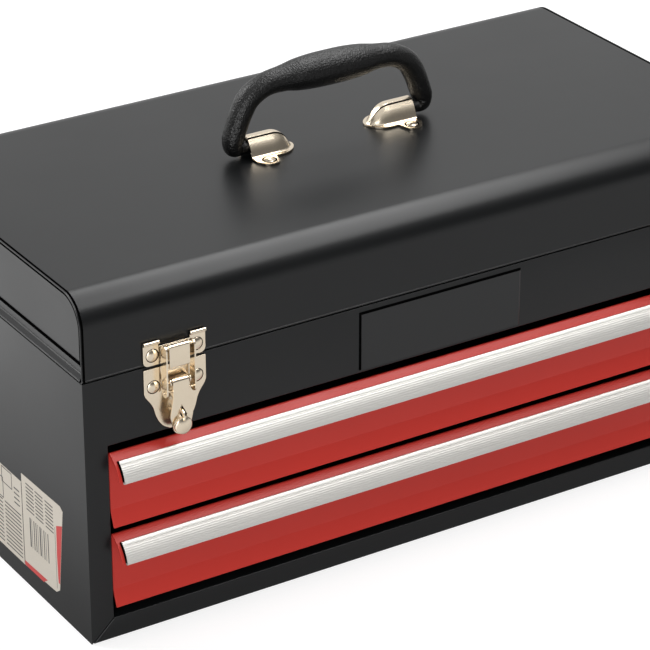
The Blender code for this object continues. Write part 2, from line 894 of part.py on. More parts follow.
def make_latch_catch(name, way, nickel, axis):
    """The plate on the lid: two riveting ears with rolled tops, and the hook behind the bail's bar."""
    centre = way * latch_x
    low = lid_bottom + catch_bottom_gap
    high = low + catch_height
    rear = latch_plane(seat_gap)
    front = latch_plane(seat_gap + latch_sheet)
    corner_centre = (plate_half - catch_corner, low + catch_corner)
    corner = arc(corner_centre, catch_corner, -math.pi / 2, 0, corner_steps)
    right = corner + [(plate_half, high), (ear_gap_half, high), (ear_gap_half, high - hook_drop)]
    outline = right + [(-x, z) for x, z in reversed(right)]
    outline = [(centre + x, z) for x, z in outline]
    thing = add_object(name, prism_mesh(outline, "Y", front, rear), nickel, axis)
    for side in (-1, 1):
        roll = circle((latch_plane(seat_gap + catch_roll_radius), high), catch_roll_radius)
        ends = sorted((centre + side * ear_gap_half, centre + side * plate_half))
        fuse(thing, "roll_left" if side < 0 else "roll_right", prism_mesh(roll, "X", *ends))
    shelf = high - hook_drop - latch_sheet
    reach = latch_plane(hook_reach)
    hook = [
        (rear - latch_sheet / 2, shelf - latch_sheet),
        (reach, shelf - latch_sheet),
        (reach, shelf + hook_lip),
        (reach + latch_sheet, shelf + hook_lip),
        (reach + latch_sheet, shelf),
        (rear - latch_sheet / 2, shelf),
    ]
    fuse(thing, "hook", prism_mesh(hook, "X", centre - hook_half, centre + hook_half))
    smooth(thing)
    return thing


def base_outline():
    """The right half of the base plate's outline, as (x, z) points from its top down."""
    drop = base_height - base_side_height
    flank = [(plate_half * width, base_bottom + drop * rise) for width, rise in base_outline_shares]
    return [(plate_half, base_top)] + [tuple(point) for point in smooth_path(flank, flank_steps)]


def make_latch_base(name, way, nickel):
    """The plate on the case: lugs for the lever's pin, and the padlock staple through the lever."""
    centre = way * latch_x
    rear = latch_plane(seat_gap)
    front = latch_plane(seat_gap + latch_sheet)
    right = base_outline()
    outline = [(centre + x, z) for x, z in right + [(-x, z) for x, z in reversed(right)]]
    thing = add_object(name, prism_mesh(outline, "Y", front, rear), nickel, None)
    _, axis_y, axis_z = lever_axis_place(way)
    bore = lever_pin_radius + pin_bore_gap
    lug = arc((axis_y, axis_z), lever_roll_radius, -math.pi / 2, -3 * math.pi / 2, arc_steps)
    root = rear - latch_sheet / 2
    lug += [(root, axis_z + lever_roll_radius), (root, axis_z - lever_roll_radius)]
    for side in (-1, 1):
        ends = sorted((centre + side * lug_half, centre + side * (lug_half + latch_sheet)))
        fuse(thing, "lug_left" if side < 0 else "lug_right", prism_mesh(lug, "X", *ends))
    reach = lug_half + latch_sheet + overrun
    cut(thing, "pin_bore", prism_mesh(circle((axis_y, axis_z), bore), "X", centre - reach, centre + reach))
    tip = latch_plane(staple_reach - staple_half_height)
    staple = arc((tip, slot_centre), staple_half_height, -math.pi / 2, -3 * math.pi / 2, arc_steps)
    staple += [(root, slot_centre + staple_half_height), (root, slot_centre - staple_half_height)]
    half = staple_thickness / 2
    fuse(thing, "staple", prism_mesh(staple, "X", centre - half, centre + half))
    hole = circle((tip, slot_centre), staple_hole_radius)
    cut(thing, "padlock_hole", prism_mesh(hole, "X", centre - overrun, centre + overrun))
    smooth(thing)
    return thing


def make_lever(name, way, nickel, axis):
    """The lever: rolled round its pin, with cheeks for the bail's pin and a slotted plate to the nose."""
    centre, axis_y, axis_z = lever_axis_place(way)
    _, bail_y, bail_z = bail_axis_place(way)
    rear = axis_y - lever_plate_out
    front = rear - latch_sheet
    nose_z = lever_nose_bottom + lever_nose_half
    nose = arc((0, nose_z), lever_nose_half, -math.pi / 2, 0, arc_steps)
    waist = (nose_z + slot_centre) / 2
    right = nose + [(lever_wide_half, waist + lever_nose_half / 2)]
    right += [(lever_half, bail_z - cheek_depth), (lever_half, axis_z)]
    outline = [(centre + x, z) for x, z in right + [(-x, z) for x, z in reversed(right)][:-1]]
    thing = add_object(name, prism_mesh(outline, "Y", front, rear), nickel, axis)
    roll = circle((axis_y, axis_z), lever_roll_radius, 2 * arc_steps)
    fuse(thing, "roll", prism_mesh(roll, "X", centre - lever_half, centre + lever_half))
    dome = []
    for rise_share, reach_share in nose_dome_shares:
        ring = circle((centre, nose_z), lever_nose_half * reach_share, tube_sides)
        level = front + latch_sheet / 2 - (nose_dome_height + latch_sheet / 2) * rise_share
        dome.append([(x, level, z) for x, z in ring])
    fuse(thing, "nose", loft_mesh(dome))
    cheek = [
        (axis_y, axis_z),
        (axis_y + lever_roll_radius / 2, axis_z - lever_roll_radius / 2),
        (bail_y + lever_roll_radius, bail_z),
        (bail_y + lever_roll_radius / 2, bail_z - lever_roll_radius),
        (front + latch_sheet / 2, bail_z - cheek_depth),
        (front + latch_sheet / 2, axis_z),
    ]
    cheek_reach = (lever_half - seat_gap / 2, lever_half - latch_sheet)
    for side in (-1, 1):
        ends = sorted(centre + side * half for half in cheek_reach)
        fuse(thing, "cheek_left" if side < 0 else "cheek_right", prism_mesh(cheek, "X", *ends))
    reach = lever_half + overrun
    pin_bore = circle((axis_y, axis_z), lever_pin_radius + pin_bore_gap)
    bail_bore = circle((bail_y, bail_z), bail_pin_radius + pin_bore_gap)
    cut(thing, "pin_bore", prism_mesh(pin_bore, "X", centre - reach, centre + reach))
    cut(thing, "bail_bore", prism_mesh(bail_bore, "X", centre - reach, centre + reach))
    slot = [
        (centre - slot_half_width, slot_centre),
        (centre, slot_centre - slot_half_height),
        (centre + slot_half_width, slot_centre),
        (centre, slot_centre + slot_half_height),
    ]
    cut(thing, "slot", prism_mesh(slot, "Y", front - nose_dome_height - overrun, rear + overrun))
    smooth(thing)
    return thing


def make_bail(name, way, nickel, axis):
    """The bail: two arms on edge, the bar across their tops, and the tongue that hangs from it in front."""
    centre, bail_y, bail_z = bail_axis_place(way)
    top = lever_axis_place(way)[2] + bail_top
    half_depth_arm = bail_arm_depth / 2
    eye = arc((bail_y, bail_z), half_depth_arm, 0, -math.pi, arc_steps)
    arm = eye + [(bail_y - half_depth_arm, top - half_depth_arm)]
    arm += arc((bail_y, top - half_depth_arm), half_depth_arm, math.pi, 0, arc_steps)[1:]
    bar_z = top - bail_bar_drop
    outer = bail_half + latch_sheet
    thing = add_object(name, prism_mesh(arm, "X", centre - outer, centre - bail_half), nickel, axis)
    bar = circle((bail_y, bar_z), bail_bar_radius)
    bar_half = bail_half + latch_sheet / 2
    fuse(thing, "bar", prism_mesh(bar, "X", centre - bar_half, centre + bar_half))
    fuse(thing, "arm_right", prism_mesh(arm, "X", centre + bail_half, centre + outer))
    roll = circle((bail_y, bar_z), tongue_roll_radius, 2 * arc_steps)
    fuse(thing, "roll", prism_mesh(roll, "X", centre - tongue_half, centre + tongue_half))
    front = bail_y - tongue_roll_radius
    low = bar_z - tongue_height
    tongue = [
        (front + latch_sheet * 2, bar_z),
        (front + latch_sheet / 4, bar_z),
        (front, bar_z - tongue_roll_radius),
        (front, low + tongue_roll_radius),
        (front + latch_sheet, low),
        (front + 2 * latch_sheet, low - latch_sheet / 4),
        (front + 2 * latch_sheet, low + latch_sheet),
        (front + latch_sheet, low + tongue_roll_radius + latch_sheet / 2),
        (front + latch_sheet, bar_z - tongue_roll_radius),
    ]
    fuse(thing, "tongue", prism_mesh(tongue, "X", centre - tongue_half, centre + tongue_half))
    reach = outer + overrun
    bore = circle((bail_y, bail_z), bail_pin_radius + pin_bore_gap)
    cut(thing, "pin_bore", prism_mesh(bore, "X", centre - reach, centre + reach))
    smooth(thing)
    return thing


def make_pin(name, radius, held_half, place, nickel, axis=None):
    """A latch's pin, which stands out of the cheeks that hold it by a sheet's thickness at each end."""
    half = held_half + 2 * latch_sheet
    centre, y, z = place
    rod(name, radius, centre - half, centre + half, (y, z), nickel, axis)


def build():
    clear_scene()
    black = make_finish("black_powder_coat", (0.035, 0.036, 0.037), 0.42, 0.0)
    red = make_finish("red_enamel", (0.36, 0.016, 0.014), 0.35, 0.0)
    aluminium = make_finish("extruded_aluminium", (0.77, 0.75, 0.71), 0.30, 1.0)
    nickel = make_finish("nickel_plated_steel", (0.68, 0.61, 0.52), 0.22, 1.0)
    zinc = make_finish("zinc_plated_steel", (0.55, 0.55, 0.53), 0.38, 1.0)
    plastic = make_finish("grained_black_plastic", (0.012, 0.012, 0.013), 0.55, 0.0)

    lid_axis = make_axis("lid_hinge_axis", (0, hinge_y, hinge_z))
    handle_axis = make_axis("handle_axis", (0, 0, pivot_z), lid_axis)

    make_case_wrap(black)
    make_base_pan(black)
    make_back_panel(black)
    make_tray_floor(black)
    make_hinge_leaf("hinge_leaf_case", -1, True, zinc)
    rod("hinge_pin", hinge_pin_radius, -leaf_length / 2, leaf_length / 2, (hinge_y, hinge_z), zinc)

    make_lid_shell(black, lid_axis)
    make_hinge_leaf("hinge_leaf_lid", 1, False, zinc, lid_axis)
    for side, way in (("left", -1), ("right", 1)):
        make_lid_end("lid_end_" + side, way, black, lid_axis)
        make_bracket("handle_bracket_" + side, way, nickel, lid_axis)
    make_handle(plastic, handle_axis)

    for index in range(drawer_count):
        drawer = ("upper", "lower")[index]
        slide_axis = make_axis(drawer + "_drawer_axis", (0, -half_depth, drawer_base(index)))
        make_drawer_pan("drawer_pan_" + drawer, index, black, slide_axis)
        make_drawer_front("drawer_front_" + drawer, index, red, slide_axis)
        make_drawer_trim("drawer_trim_" + drawer, index, aluminium, slide_axis)
        for side, way in (("left", -1), ("right", 1)):
            make_channel("drawer_channel_" + drawer + "_" + side, index, way, zinc)
            make_rail("drawer_rail_" + drawer + "_" + side, index, way, zinc, slide_axis)

    for side, way in (("left", -1), ("right", 1)):
        lever_axis = make_axis("lever_axis_" + side, lever_axis_place(way))
        bail_axis = make_axis("bail_axis_" + side, bail_axis_place(way), lever_axis)
        make_latch_catch("latch_catch_" + side, way, nickel, lid_axis)
        make_latch_base("latch_base_" + side, way, nickel)
        make_lever("latch_lever_" + side, way, nickel, lever_axis)
        make_bail("latch_bail_" + side, way, nickel, bail_axis)
        make_pin("lever_pin_" + side, lever_pin_radius, lug_half, lever_axis_place(way), nickel)
        make_pin("bail_pin_" + side, bail_pin_radius, bail_half, bail_axis_place(way), nickel, lever_axis)


if __name__ == "__main__":
    build()
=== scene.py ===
"""A steel tool box with a lidded top compartment, two drawers, a carry handle and draw latches.

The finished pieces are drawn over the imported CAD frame. Lengths are in metres, +X is to the right,
the front faces -Y and +Z is up.
"""

import json
import math

import bmesh
import bpy
from mathutils import Euler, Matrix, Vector


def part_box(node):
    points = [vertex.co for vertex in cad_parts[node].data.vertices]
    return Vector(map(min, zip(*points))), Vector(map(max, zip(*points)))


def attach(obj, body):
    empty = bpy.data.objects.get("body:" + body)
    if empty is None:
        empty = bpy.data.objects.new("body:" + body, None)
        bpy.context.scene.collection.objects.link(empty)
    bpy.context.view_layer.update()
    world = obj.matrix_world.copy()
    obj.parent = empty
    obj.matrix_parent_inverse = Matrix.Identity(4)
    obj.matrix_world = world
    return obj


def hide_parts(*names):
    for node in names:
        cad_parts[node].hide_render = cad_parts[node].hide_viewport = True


bl_info = {
    "name": "Metal Tool Box",
    "version": (1, 0, 0),
    "blender": (4, 5, 0),
    "location": "View3D > Sidebar > Tool Box",
    "description": "Steel tool box with a hinged lid, two drawers, a carry handle and draw latches",
    "category": "Add Mesh",
}

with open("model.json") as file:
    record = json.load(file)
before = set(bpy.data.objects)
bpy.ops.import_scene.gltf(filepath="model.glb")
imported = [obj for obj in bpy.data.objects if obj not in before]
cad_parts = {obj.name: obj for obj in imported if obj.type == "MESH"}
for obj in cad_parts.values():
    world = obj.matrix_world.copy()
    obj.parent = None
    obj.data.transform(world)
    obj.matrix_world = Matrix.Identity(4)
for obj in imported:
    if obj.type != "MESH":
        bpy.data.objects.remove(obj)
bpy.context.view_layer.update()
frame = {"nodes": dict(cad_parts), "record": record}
case_low, case_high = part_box("case_wrap")
lid_low, lid_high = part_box("lid_shell")

# Sheet of the case, lid, drawers and latches, then of the handle's brackets and the hinge's leaves
sheet = 0.001
bracket_sheet = 0.0011
leaf_sheet = 0.0008
# Room that the CAD leaves between pieces that lie against each other
seat_gap = 0.0003
# End of the lid's shell, and of the end panels' lower strip, which stands a little proud of it
shell_end = lid_high.x
strip_end = shell_end + 0.0005
# How far a painted-shade sheet stands off what it lies on
shade_rise = 0.0002
# Points nearer than this are one point
weld = 0.00002
# Edges sharper than this are rounded, first on plain pieces, then on those with faceted curves
plain_limit = math.radians(32)
curved_limit = math.radians(60)

sides = (("left", -1), ("right", 1))
drawers = ("upper", "lower")


def linear(code):
    """An sRGB hex colour as linear red, green and blue."""
    parts = [int(code[i : i + 2], 16) / 255 for i in (1, 3, 5)]
    return tuple(c / 12.92 if c <= 0.04045 else ((c + 0.055) / 1.055) ** 2.4 for c in parts)


def length(label, words, value):
    """A length that the user can change."""
    return bpy.props.FloatProperty(
        name=label, description=words, default=value, min=0.0, precision=5, unit="LENGTH"
    )


def colour(label, words, code):
    """A colour that the user can change, given as its sRGB hex code."""
    return bpy.props.FloatVectorProperty(
        name=label, description=words, default=linear(code), size=3, min=0.0, max=1.0, subtype="COLOR"
    )


def power(label, words, value):
    """A lamp's power that the user can change."""
    return bpy.props.FloatProperty(name=label, description=words, default=value, min=0.0, unit="POWER")


class ToolBoxSizes(bpy.types.PropertyGroup):
    """The sizes of the finished pieces."""

    bend_radius: length("Bend Radius", "Outer radius of the folded sheets' bends", 0.0007)
    edge_radius: length("Edge Radius", "Rounding of cut sheet edges", 0.00018)
    sill_radius: length("Sill Radius", "Rounding of the base pan's edges, which catch the light", 0.0008)
    fitting_radius: length("Fitting Edge", "Rounding of the stamped fittings' edges", 0.00025)
    lid_radius: length("Lid Radius", "Radius of the lid's front and back edges", 0.020)
    crease_radius: length("Crease Radius", "Bend where a drawer's front flares out", 0.0028)
    crimp_width: length("Crimp Width", "Width of the rim crimped over the lid's end panels", 0.0008)
    crimp_thickness: length("Crimp Thickness", "Thickness of that rim's edge", 0.0005)
    # the seams are painted shade, matt black pieces of this width
    crimp_gap: length("Crimp Gap", "Width of the dark seams on both sides of the rim", 0.0016)
    bead_width: length("Bead Width", "Width of the bead along the top of the drawer trim", 0.0030)
    bead_height: length("Bead Height", "Height of that bead above the strip", 0.00014)
    flute_depth: length("Flute Depth", "Depth of the flutes in the drawer trim", 0.00006)
    rivet_radius: length("Rivet Radius", "Radius of the latch rivets' heads", 0.0041)
    bracket_rivet_radius: length("Bracket Rivet Radius", "Radius of the bracket rivets' heads", 0.0040)
    hinge_rivet_radius: length("Hinge Rivet Radius", "Radius of the hinge rivets' heads", 0.0024)
    rivet_rise: length("Rivet Rise", "Height of a latch rivet's head", 0.0011)
    plate_width: length("Name Plate Width", "Length of the bare plate on the header", 0.1206)
    plate_height: length("Name Plate Height", "Height of the bare plate on the header", 0.0385)
    plate_thickness: length("Name Plate Thickness", "Thickness of the bare plate", 0.0006)


class ToolBoxColours(bpy.types.PropertyGroup):
    """The colours of the finishes and of the floor."""

    black_paint: colour("Black Paint", "Powder coat of the case and lid", "#101112")
    red_paint: colour("Red Paint", "Enamel of the drawer fronts", "#B8332B")
    aluminium: colour("Aluminium", "Extruded drawer trims", "#E6E4DF")
    nickel: colour("Nickel", "Plating of the latches and brackets", "#E2D4BE")
    zinc: colour("Zinc", "Plating of the slides and the hinge", "#B4B5B2")
    plastic: colour("Plastic", "Moulded carry handle", "#050505")
    plate: colour("Name Plate", "Bare plate on the header", "#131415")
    label_paper: colour("Label Paper", "Side label", "#CDC5B8")
    label_red: colour("Label Red", "Bands of the side label", "#C23A38")
    label_ink: colour("Label Ink", "Rules and boxes of the side label", "#4A4846")
    floor: colour("Floor", "Studio floor", "#AEAEAE")


class ToolBoxStage(bpy.types.PropertyGroup):
    """The camera and the lights."""

    camera_place: bpy.props.FloatVectorProperty(
        name="Camera Place",
        description="Where the camera stands",
        default=(-1.0154, -1.6209, 1.0556),
        size=3,
        unit="LENGTH",
        subtype="TRANSLATION",
    )
    camera_turn: bpy.props.FloatVectorProperty(
        name="Camera Turn",
        description="How the camera is turned",
        default=(math.radians(63.40), math.radians(0.143), math.radians(-31.853)),
        size=3,
        unit="ROTATION",
        subtype="EULER",
    )
    camera_lens: bpy.props.FloatProperty(
        name="Focal Length",
        description="Focal length for a 36 mm sensor",
        default=176.43,
        min=1.0,
        unit="CAMERA",
    )
    key_power: power("Key Power", "Power of the soft light overhead", 38.0)
    fill_power: power("Fill Power", "Power of the soft light in front on the left", 32.0)
    back_power: power("Back Power", "Power of the soft light behind on the left", 30.0)
    surround: bpy.props.FloatProperty(
        name="Surround", description="Strength of the even light from all round", default=0.42, min=0.0
    )


# Nodes and materials


def feed(tree, node, inputs):
    """Gives a node's inputs what they take: a value or a link."""
    for key, value in inputs.items():
        if isinstance(value, bpy.types.NodeSocket):
            tree.links.new(value, node.inputs[key])
        else:
            node.inputs[key].default_value = value


def add(tree, kind, inputs=None, **settings):
    """Adds a node with its settings, values and links."""
    made = tree.nodes.new(kind)
    for key, value in settings.items():
        setattr(made, key, value)
    feed(tree, made, inputs or {})
    return made


def calc(tree, operation, *values):
    """The result of a maths node."""
    return add(tree, "ShaderNodeMath", dict(enumerate(values)), operation=operation).outputs[0]


def noise(tree, place, size, detail):
    """A noise pattern with features of about that size."""
    inputs = {"Vector": place, "Scale": per_metre(size), "Detail": detail}
    return add(tree, "ShaderNodeTexNoise", inputs).outputs[0]


def bump(tree, height, strength, distance):
    """The normal of a surface with that height pattern on it."""
    inputs = {"Height": height, "Strength": strength, "Distance": distance}
    return add(tree, "ShaderNodeBump", inputs).outputs[0]


def per_metre(size):
    """A texture's scale for features of that size."""
    return 1.0 / size


def vary(tree, source, low, high, start=0.3, stop=0.7):
    """Turns a pattern's value from start to stop into a value from low to high."""
    span = {"Value": source, "From Min": start, "From Max": stop, "To Min": low, "To Max": high}
    return add(tree, "ShaderNodeMapRange", span).outputs[0]


def tinted(tree, factor, base, share):
    """The base colour, darkened by up to that share where factor is high."""
    dark = tuple(c * (1 - share) for c in base)
    # inputs 6 and 7 are the mix node's two colours
    inputs = {"Factor": factor, 6: (*base, 1.0), 7: (*dark, 1.0)}
    return add(tree, "ShaderNodeMix", inputs, data_type="RGBA").outputs[2]


def blank_material(name):
    """A material with an empty tree, its shader, and the object's own coordinates."""
    material = bpy.data.materials.new(name)
    material.use_nodes = True
    tree = material.node_tree
    tree.nodes.clear()
    shader = add(tree, "ShaderNodeBsdfPrincipled")
    add(tree, "ShaderNodeOutputMaterial", {"Surface": shader.outputs[0]})
    place = add(tree, "ShaderNodeTexCoord").outputs["Object"]
    return material, tree, shader, place


def powder_coat(base):
    """Black polyester powder coat, baked on steel: a satin skin with a fine orange peel.

    The peel breaks up what it mirrors, so the lid shows the bright backdrop as a soft grey.
    """
    material, tree, shader, place = blank_material("black_polyester_powder_coat")
    peel = noise(tree, place, 0.0011, 3.0)
    cloud = noise(tree, place, 0.06, 2.0)
    finish = {
        "Base Color": tinted(tree, cloud, base, 0.16),
        "Roughness": vary(tree, cloud, 0.29, 0.33),
        "Specular IOR Level": 0.29,
        "Normal": bump(tree, peel, 0.22, 0.00006),
    }
    feed(tree, shader, finish)
    return material


def enamel(base):
    """Red stoved enamel: a satin skin, whose orange peel is longer and lower than the powder coat's."""
    material, tree, shader, place = blank_material("red_stoved_enamel")
    peel = noise(tree, place, 0.0016, 2.0)
    cloud = noise(tree, place, 0.05, 2.0)
    finish = {
        "Base Color": tinted(tree, cloud, base, 0.06),
        "Roughness": vary(tree, cloud, 0.30, 0.36),
        "Specular IOR Level": 0.25,
        "Normal": bump(tree, peel, 0.12, 0.00005),
    }
    feed(tree, shader, finish)
    return material


def extruded_aluminium(base):
    """Extruded aluminium: die lines run along the strip, so it gleams across them."""
    material, tree, shader, place = blank_material("extruded_aluminium")
    # the pattern is a metre long and 0.4 mm across, which draws it out into lines
    scale = (1.0, per_metre(0.0004), per_metre(0.0004))
    drawn = add(tree, "ShaderNodeMapping", {"Vector": place, "Scale": scale})
    lines = noise(tree, drawn.outputs[0], 1.0, 3.0)
    finish = {
        "Base Color": tinted(tree, lines, base, 0.08),
        "Metallic": 1.0,
        "Roughness": vary(tree, lines, 0.46, 0.54),
        "Normal": bump(tree, lines, 0.05, 0.00003),
    }
    feed(tree, shader, finish)
    return material


def plated(name, base, rough, waviness):
    """Plating on stamped steel: the metal's own tint, with slight waves left by the press."""
    material, tree, shader, place = blank_material(name)
    wave = noise(tree, place, 0.006, 2.0)
    haze = noise(tree, place, 0.0012, 4.0)
    finish = {
        "Base Color": tinted(tree, haze, base, 0.05),
        "Metallic": 1.0,
        "Roughness": vary(tree, haze, rough * 0.95, rough * 1.08),
        "Normal": bump(tree, wave, waviness, 0.0004),
    }
    feed(tree, shader, finish)
    return material


def moulded_plastic(base):
    """Moulded PVC with a leather-like grain: each cell catches its own small highlight.

    The cells are half as large again as the real ones, which would be too fine to show.
    """
    material, tree, shader, place = blank_material("grained_black_pvc")
    cells = {"Vector": place, "Scale": per_metre(0.0016), "Randomness": 1.0}
    grain = add(tree, "ShaderNodeTexVoronoi", cells, feature="DISTANCE_TO_EDGE").outputs[0]
    fine = noise(tree, place, 0.0012, 1.0)
    finish = {
        "Base Color": tinted(tree, fine, base, 0.35),
        "Roughness": vary(tree, fine, 0.30, 0.38),
        "Specular IOR Level": 0.38,
        "Normal": bump(tree, calc(tree, "ADD", grain, fine), 0.5, 0.0007),
    }
    feed(tree, shader, finish)
    return material


def print_stock(name, base, rough, gloss=0.5):
    """Printed label stock, ink, or a matt black used as painted shade: flat colour with a faint paper tooth.
    """
    material, tree, shader, place = blank_material(name)
    tooth = noise(tree, place, 0.0009, 3.0)
    finish = {
        "Base Color": tinted(tree, tooth, base, 0.10),
        "Roughness": rough,
        "Specular IOR Level": gloss,
        "Normal": bump(tree, tooth, 0.08, 0.00003),
    }
    feed(tree, shader, finish)
    return material


# The finishes by their short names
store = {}


def finishes():
    """The store of finishes, filled at the first call."""
    tints = bpy.context.scene.tool_box_colours
    if not store:
        store["black"] = powder_coat(tints.black_paint)
        store["red"] = enamel(tints.red_paint)
        store["aluminium"] = extruded_aluminium(tints.aluminium)
        store["nickel"] = plated("nickel_plated_steel", tints.nickel, 0.22, 0.02)
        store["zinc"] = plated("zinc_plated_steel", tints.zinc, 0.34, 0.04)
        store["plastic"] = moulded_plastic(tints.plastic)
        store["plate"] = print_stock("satin_black_name_plate", tints.plate, 0.30, 0.38)
        # shade is painted shade: a matt black for the seams, grooves, hollows, creases, rivet rings and slots
        # where only shade falls
        store["shade"] = print_stock("matt_black_backing", linear("#050505"), 0.9, 0.0)
        store["paper"] = print_stock("coated_label_paper", tints.label_paper, 0.5)
        store["band"] = print_stock("red_label_ink", tints.label_red, 0.5)
        store["ink"] = print_stock("grey_label_ink", tints.label_ink, 0.6)
    return store


# Shapes


def new_piece(name, mesh, finish):
    """An object at the origin with one finish, made from a mesh or a bmesh."""
    if isinstance(mesh, bmesh.types.BMesh):
        data = bpy.data.meshes.new(name)
        mesh.to_mesh(data)
        mesh.free()
        mesh = data
    mesh.materials.clear()
    mesh.materials.append(finishes()[finish])
    piece = bpy.data.objects.new(name, mesh)
    bpy.context.scene.collection.objects.link(piece)
    return piece


def body_of(node):
    """The body that holds a CAD node."""
    for body, members in frame["record"]["behaviour"]["bodies"].items():
        if node in members:
            return body
    raise RuntimeError("no body holds " + node)


def settle(piece, body, finish, *nodes):
    """Puts a finished piece on its body, in place of its CAD nodes."""
    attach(piece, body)
    if nodes:
        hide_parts(*nodes)
    return piece


def round_edges(piece, radius, limit=plain_limit, segments=2):
    """Rounds every edge sharper than the limit, and keeps the flats flat."""
    for face in piece.data.polygons:
        face.use_smooth = True
    bevel = piece.modifiers.new("Rounded edges", "BEVEL")
    bevel.width = radius
    bevel.segments = segments
    bevel.limit_method = "ANGLE"
    bevel.angle_limit = limit
    bevel.harden_normals = True
    return bevel


def thicken(piece, thickness):
    """Gives a skin its sheet, on the inner side."""
    skin = piece.modifiers.new("Sheet", "SOLIDIFY")
    skin.thickness = thickness
    skin.offset = -1.0


def breadth(face):
    """About how wide a face is across its longest edge."""
    return face.calc_area() / max(edge.calc_length() for edge in face.edges)


def weigh_bends(mesh, cut_share):
    """Marks a sheet's bends for full rounding and its cut edges for that share of it.

    A bend has broad faces on both sides and lies clear of the case's lower and upper rims.
    """
    weights = mesh.edges.layers.float.new("bevel_weight_edge")
    low, high = 2 * sheet, case_high.z - 2 * sheet
    for edge in mesh.edges:
        if len(edge.link_faces) == 2 and edge.calc_face_angle() > plain_limit:
            at_rim = all(vert.co.z < low or vert.co.z > high for vert in edge.verts)
            bend = not at_rim and all(breadth(face) > 2.5 * sheet for face in edge.link_faces)
            edge[weights] = 1.0 if bend else cut_share


def cad_copy(node):
    """The CAD node's mesh, merged, with its flats made whole."""
    mesh = bmesh.new()
    mesh.from_mesh(frame["nodes"][node].data)
    bmesh.ops.remove_doubles(mesh, verts=mesh.verts, dist=weld)
    bmesh.ops.dissolve_limit(mesh, angle_limit=math.radians(0.5), verts=mesh.verts, edges=mesh.edges)
    return mesh


def dressed(node, finish, radius, limit=plain_limit):
    """A finished copy of a CAD node with its edges rounded."""
    piece = new_piece("finished_" + node, cad_copy(node), finish)
    round_edges(piece, radius, limit)
    # large faces keep their own normal where they run into a bend
    flats = piece.modifiers.new("Flat faces", "WEIGHTED_NORMAL")
    flats.keep_sharp = True
    return settle(piece, body_of(node), finish, node)


def dressed_sheet(node, finish, cut_radius):
    """A finished copy of a folded sheet: its bends are rounded, and its cut edges only eased."""
    sizes = bpy.context.scene.tool_box_sizes
    mesh = cad_copy(node)
    weigh_bends(mesh, cut_radius / sizes.bend_radius)
    piece = new_piece("finished_" + node, mesh, finish)
    bevel = round_edges(piece, sizes.bend_radius, segments=3)
    bevel.limit_method = "WEIGHT"
    bevel.use_clamp_overlap = False
    return settle(piece, body_of(node), finish, node)


def add_box(mesh, low, high):
    """Adds a box between two corners to a mesh."""
    corners = [(x, y, z) for x in (low[0], high[0]) for y in (low[1], high[1]) for z in (low[2], high[2])]
    verts = [mesh.verts.new(corner) for corner in corners]
    for loop in ((0, 1, 3, 2), (4, 6, 7, 5), (0, 4, 5, 1), (2, 3, 7, 6), (0, 2, 6, 4), (1, 5, 7, 3)):
        mesh.faces.new([verts[i] for i in loop])


def arc(centre, radius, start, end, steps):
    """The points of an arc round a centre."""
    turns = [start + (end - start) * i / steps for i in range(steps + 1)]
    return [Vector((centre[0] + radius * math.cos(t), centre[1] + radius * math.sin(t))) for t in turns]


def mirrored(points):
    """The points' mirror images from front to back, in reverse order."""
    return [Vector((-point.x, point.y)) for point in reversed(points)]


def rounded_corner(before, corner, after, radius, steps):
    """The curve that replaces a corner of a section. It starts and ends where an arc of that radius would."""
    first = (before - corner).normalized()
    second = (after - corner).normalized()
    reach = radius / math.tan(first.angle(second) / 2)
    start = corner + first * reach
    end = corner + second * reach
    points = []
    for i in range(steps + 1):
        t = i / steps
        points.append(start * (1 - t) ** 2 + corner * (2 * t * (1 - t)) + end * t**2)
    return points


def side_line(line, distance):
    """The line moved sideways, to its left for a positive distance."""
    moved = []
    for i, point in enumerate(line):
        before = line[max(i - 1, 0)]
        after = line[min(i + 1, len(line) - 1)]
        first = (point - before).normalized() if i else (after - point).normalized()
        second = (after - point).normalized() if i < len(line) - 1 else first
        way = (first + second).normalized()
        stretch = 1 / max(way.dot(first), 0.5)
        moved.append(point + Vector((-way.y, way.x)) * distance * stretch)
    return moved


def beside(line, i, distance):
    """The point that lies at that distance to the right of a line's point i."""
    before, after = line[max(i - 1, 0)], line[min(i + 1, len(line) - 1)]
    way = (after - before).normalized()
    return line[i] + Vector((way.y, -way.x)) * distance


def sheet_section(line, thickness):
    """The closed section of a bent sheet round its middle line."""
    return side_line(line, thickness / 2) + side_line(line, -thickness / 2)[::-1]


def smooth_through(rows, steps):
    """A Catmull-Rom curve through rows of numbers."""
    rows = [Vector(row) for row in rows]
    rows = [2 * rows[0] - rows[1]] + rows + [2 * rows[-1] - rows[-2]]
    found = []
    for i in range(1, len(rows) - 2):
        before, first, second, after = rows[i - 1 : i + 3]
        for step in range(steps):
            t = step / steps
            found.append(
                first
                + (second - before) * t / 2
                + (before - first * 2.5 + second * 2 - after / 2) * t**2
                + (first * 3 - before - second * 3 + after) * t**3 / 2
            )
    return found + [rows[-2]]


# Geometry nodes


def open_tree(name, inputs):
    """A new tree with those inputs, a finish and one output, and the sockets of its inputs."""
    tree = bpy.data.node_groups.new(name, "GeometryNodeTree")
    for label, kind in inputs.items():
        tree.interface.new_socket(label, in_out="INPUT", socket_type="NodeSocket" + kind)
    tree.interface.new_socket("Finish", in_out="INPUT", socket_type="NodeSocketMaterial")
    tree.interface.new_socket("Piece", in_out="OUTPUT", socket_type="NodeSocketGeometry")
    return tree, add(tree, "NodeGroupInput").outputs


def close_tree(tree, given, shape):
    """Ends a tree: what it has made becomes real and takes the finish."""
    real = add(tree, "GeometryNodeRealizeInstances", {0: shape})
    done = add(tree, "GeometryNodeSetMaterial", {0: real.outputs[0], "Material": given["Finish"]})
    add(tree, "NodeGroupOutput", {0: done.outputs[0]})
    return tree


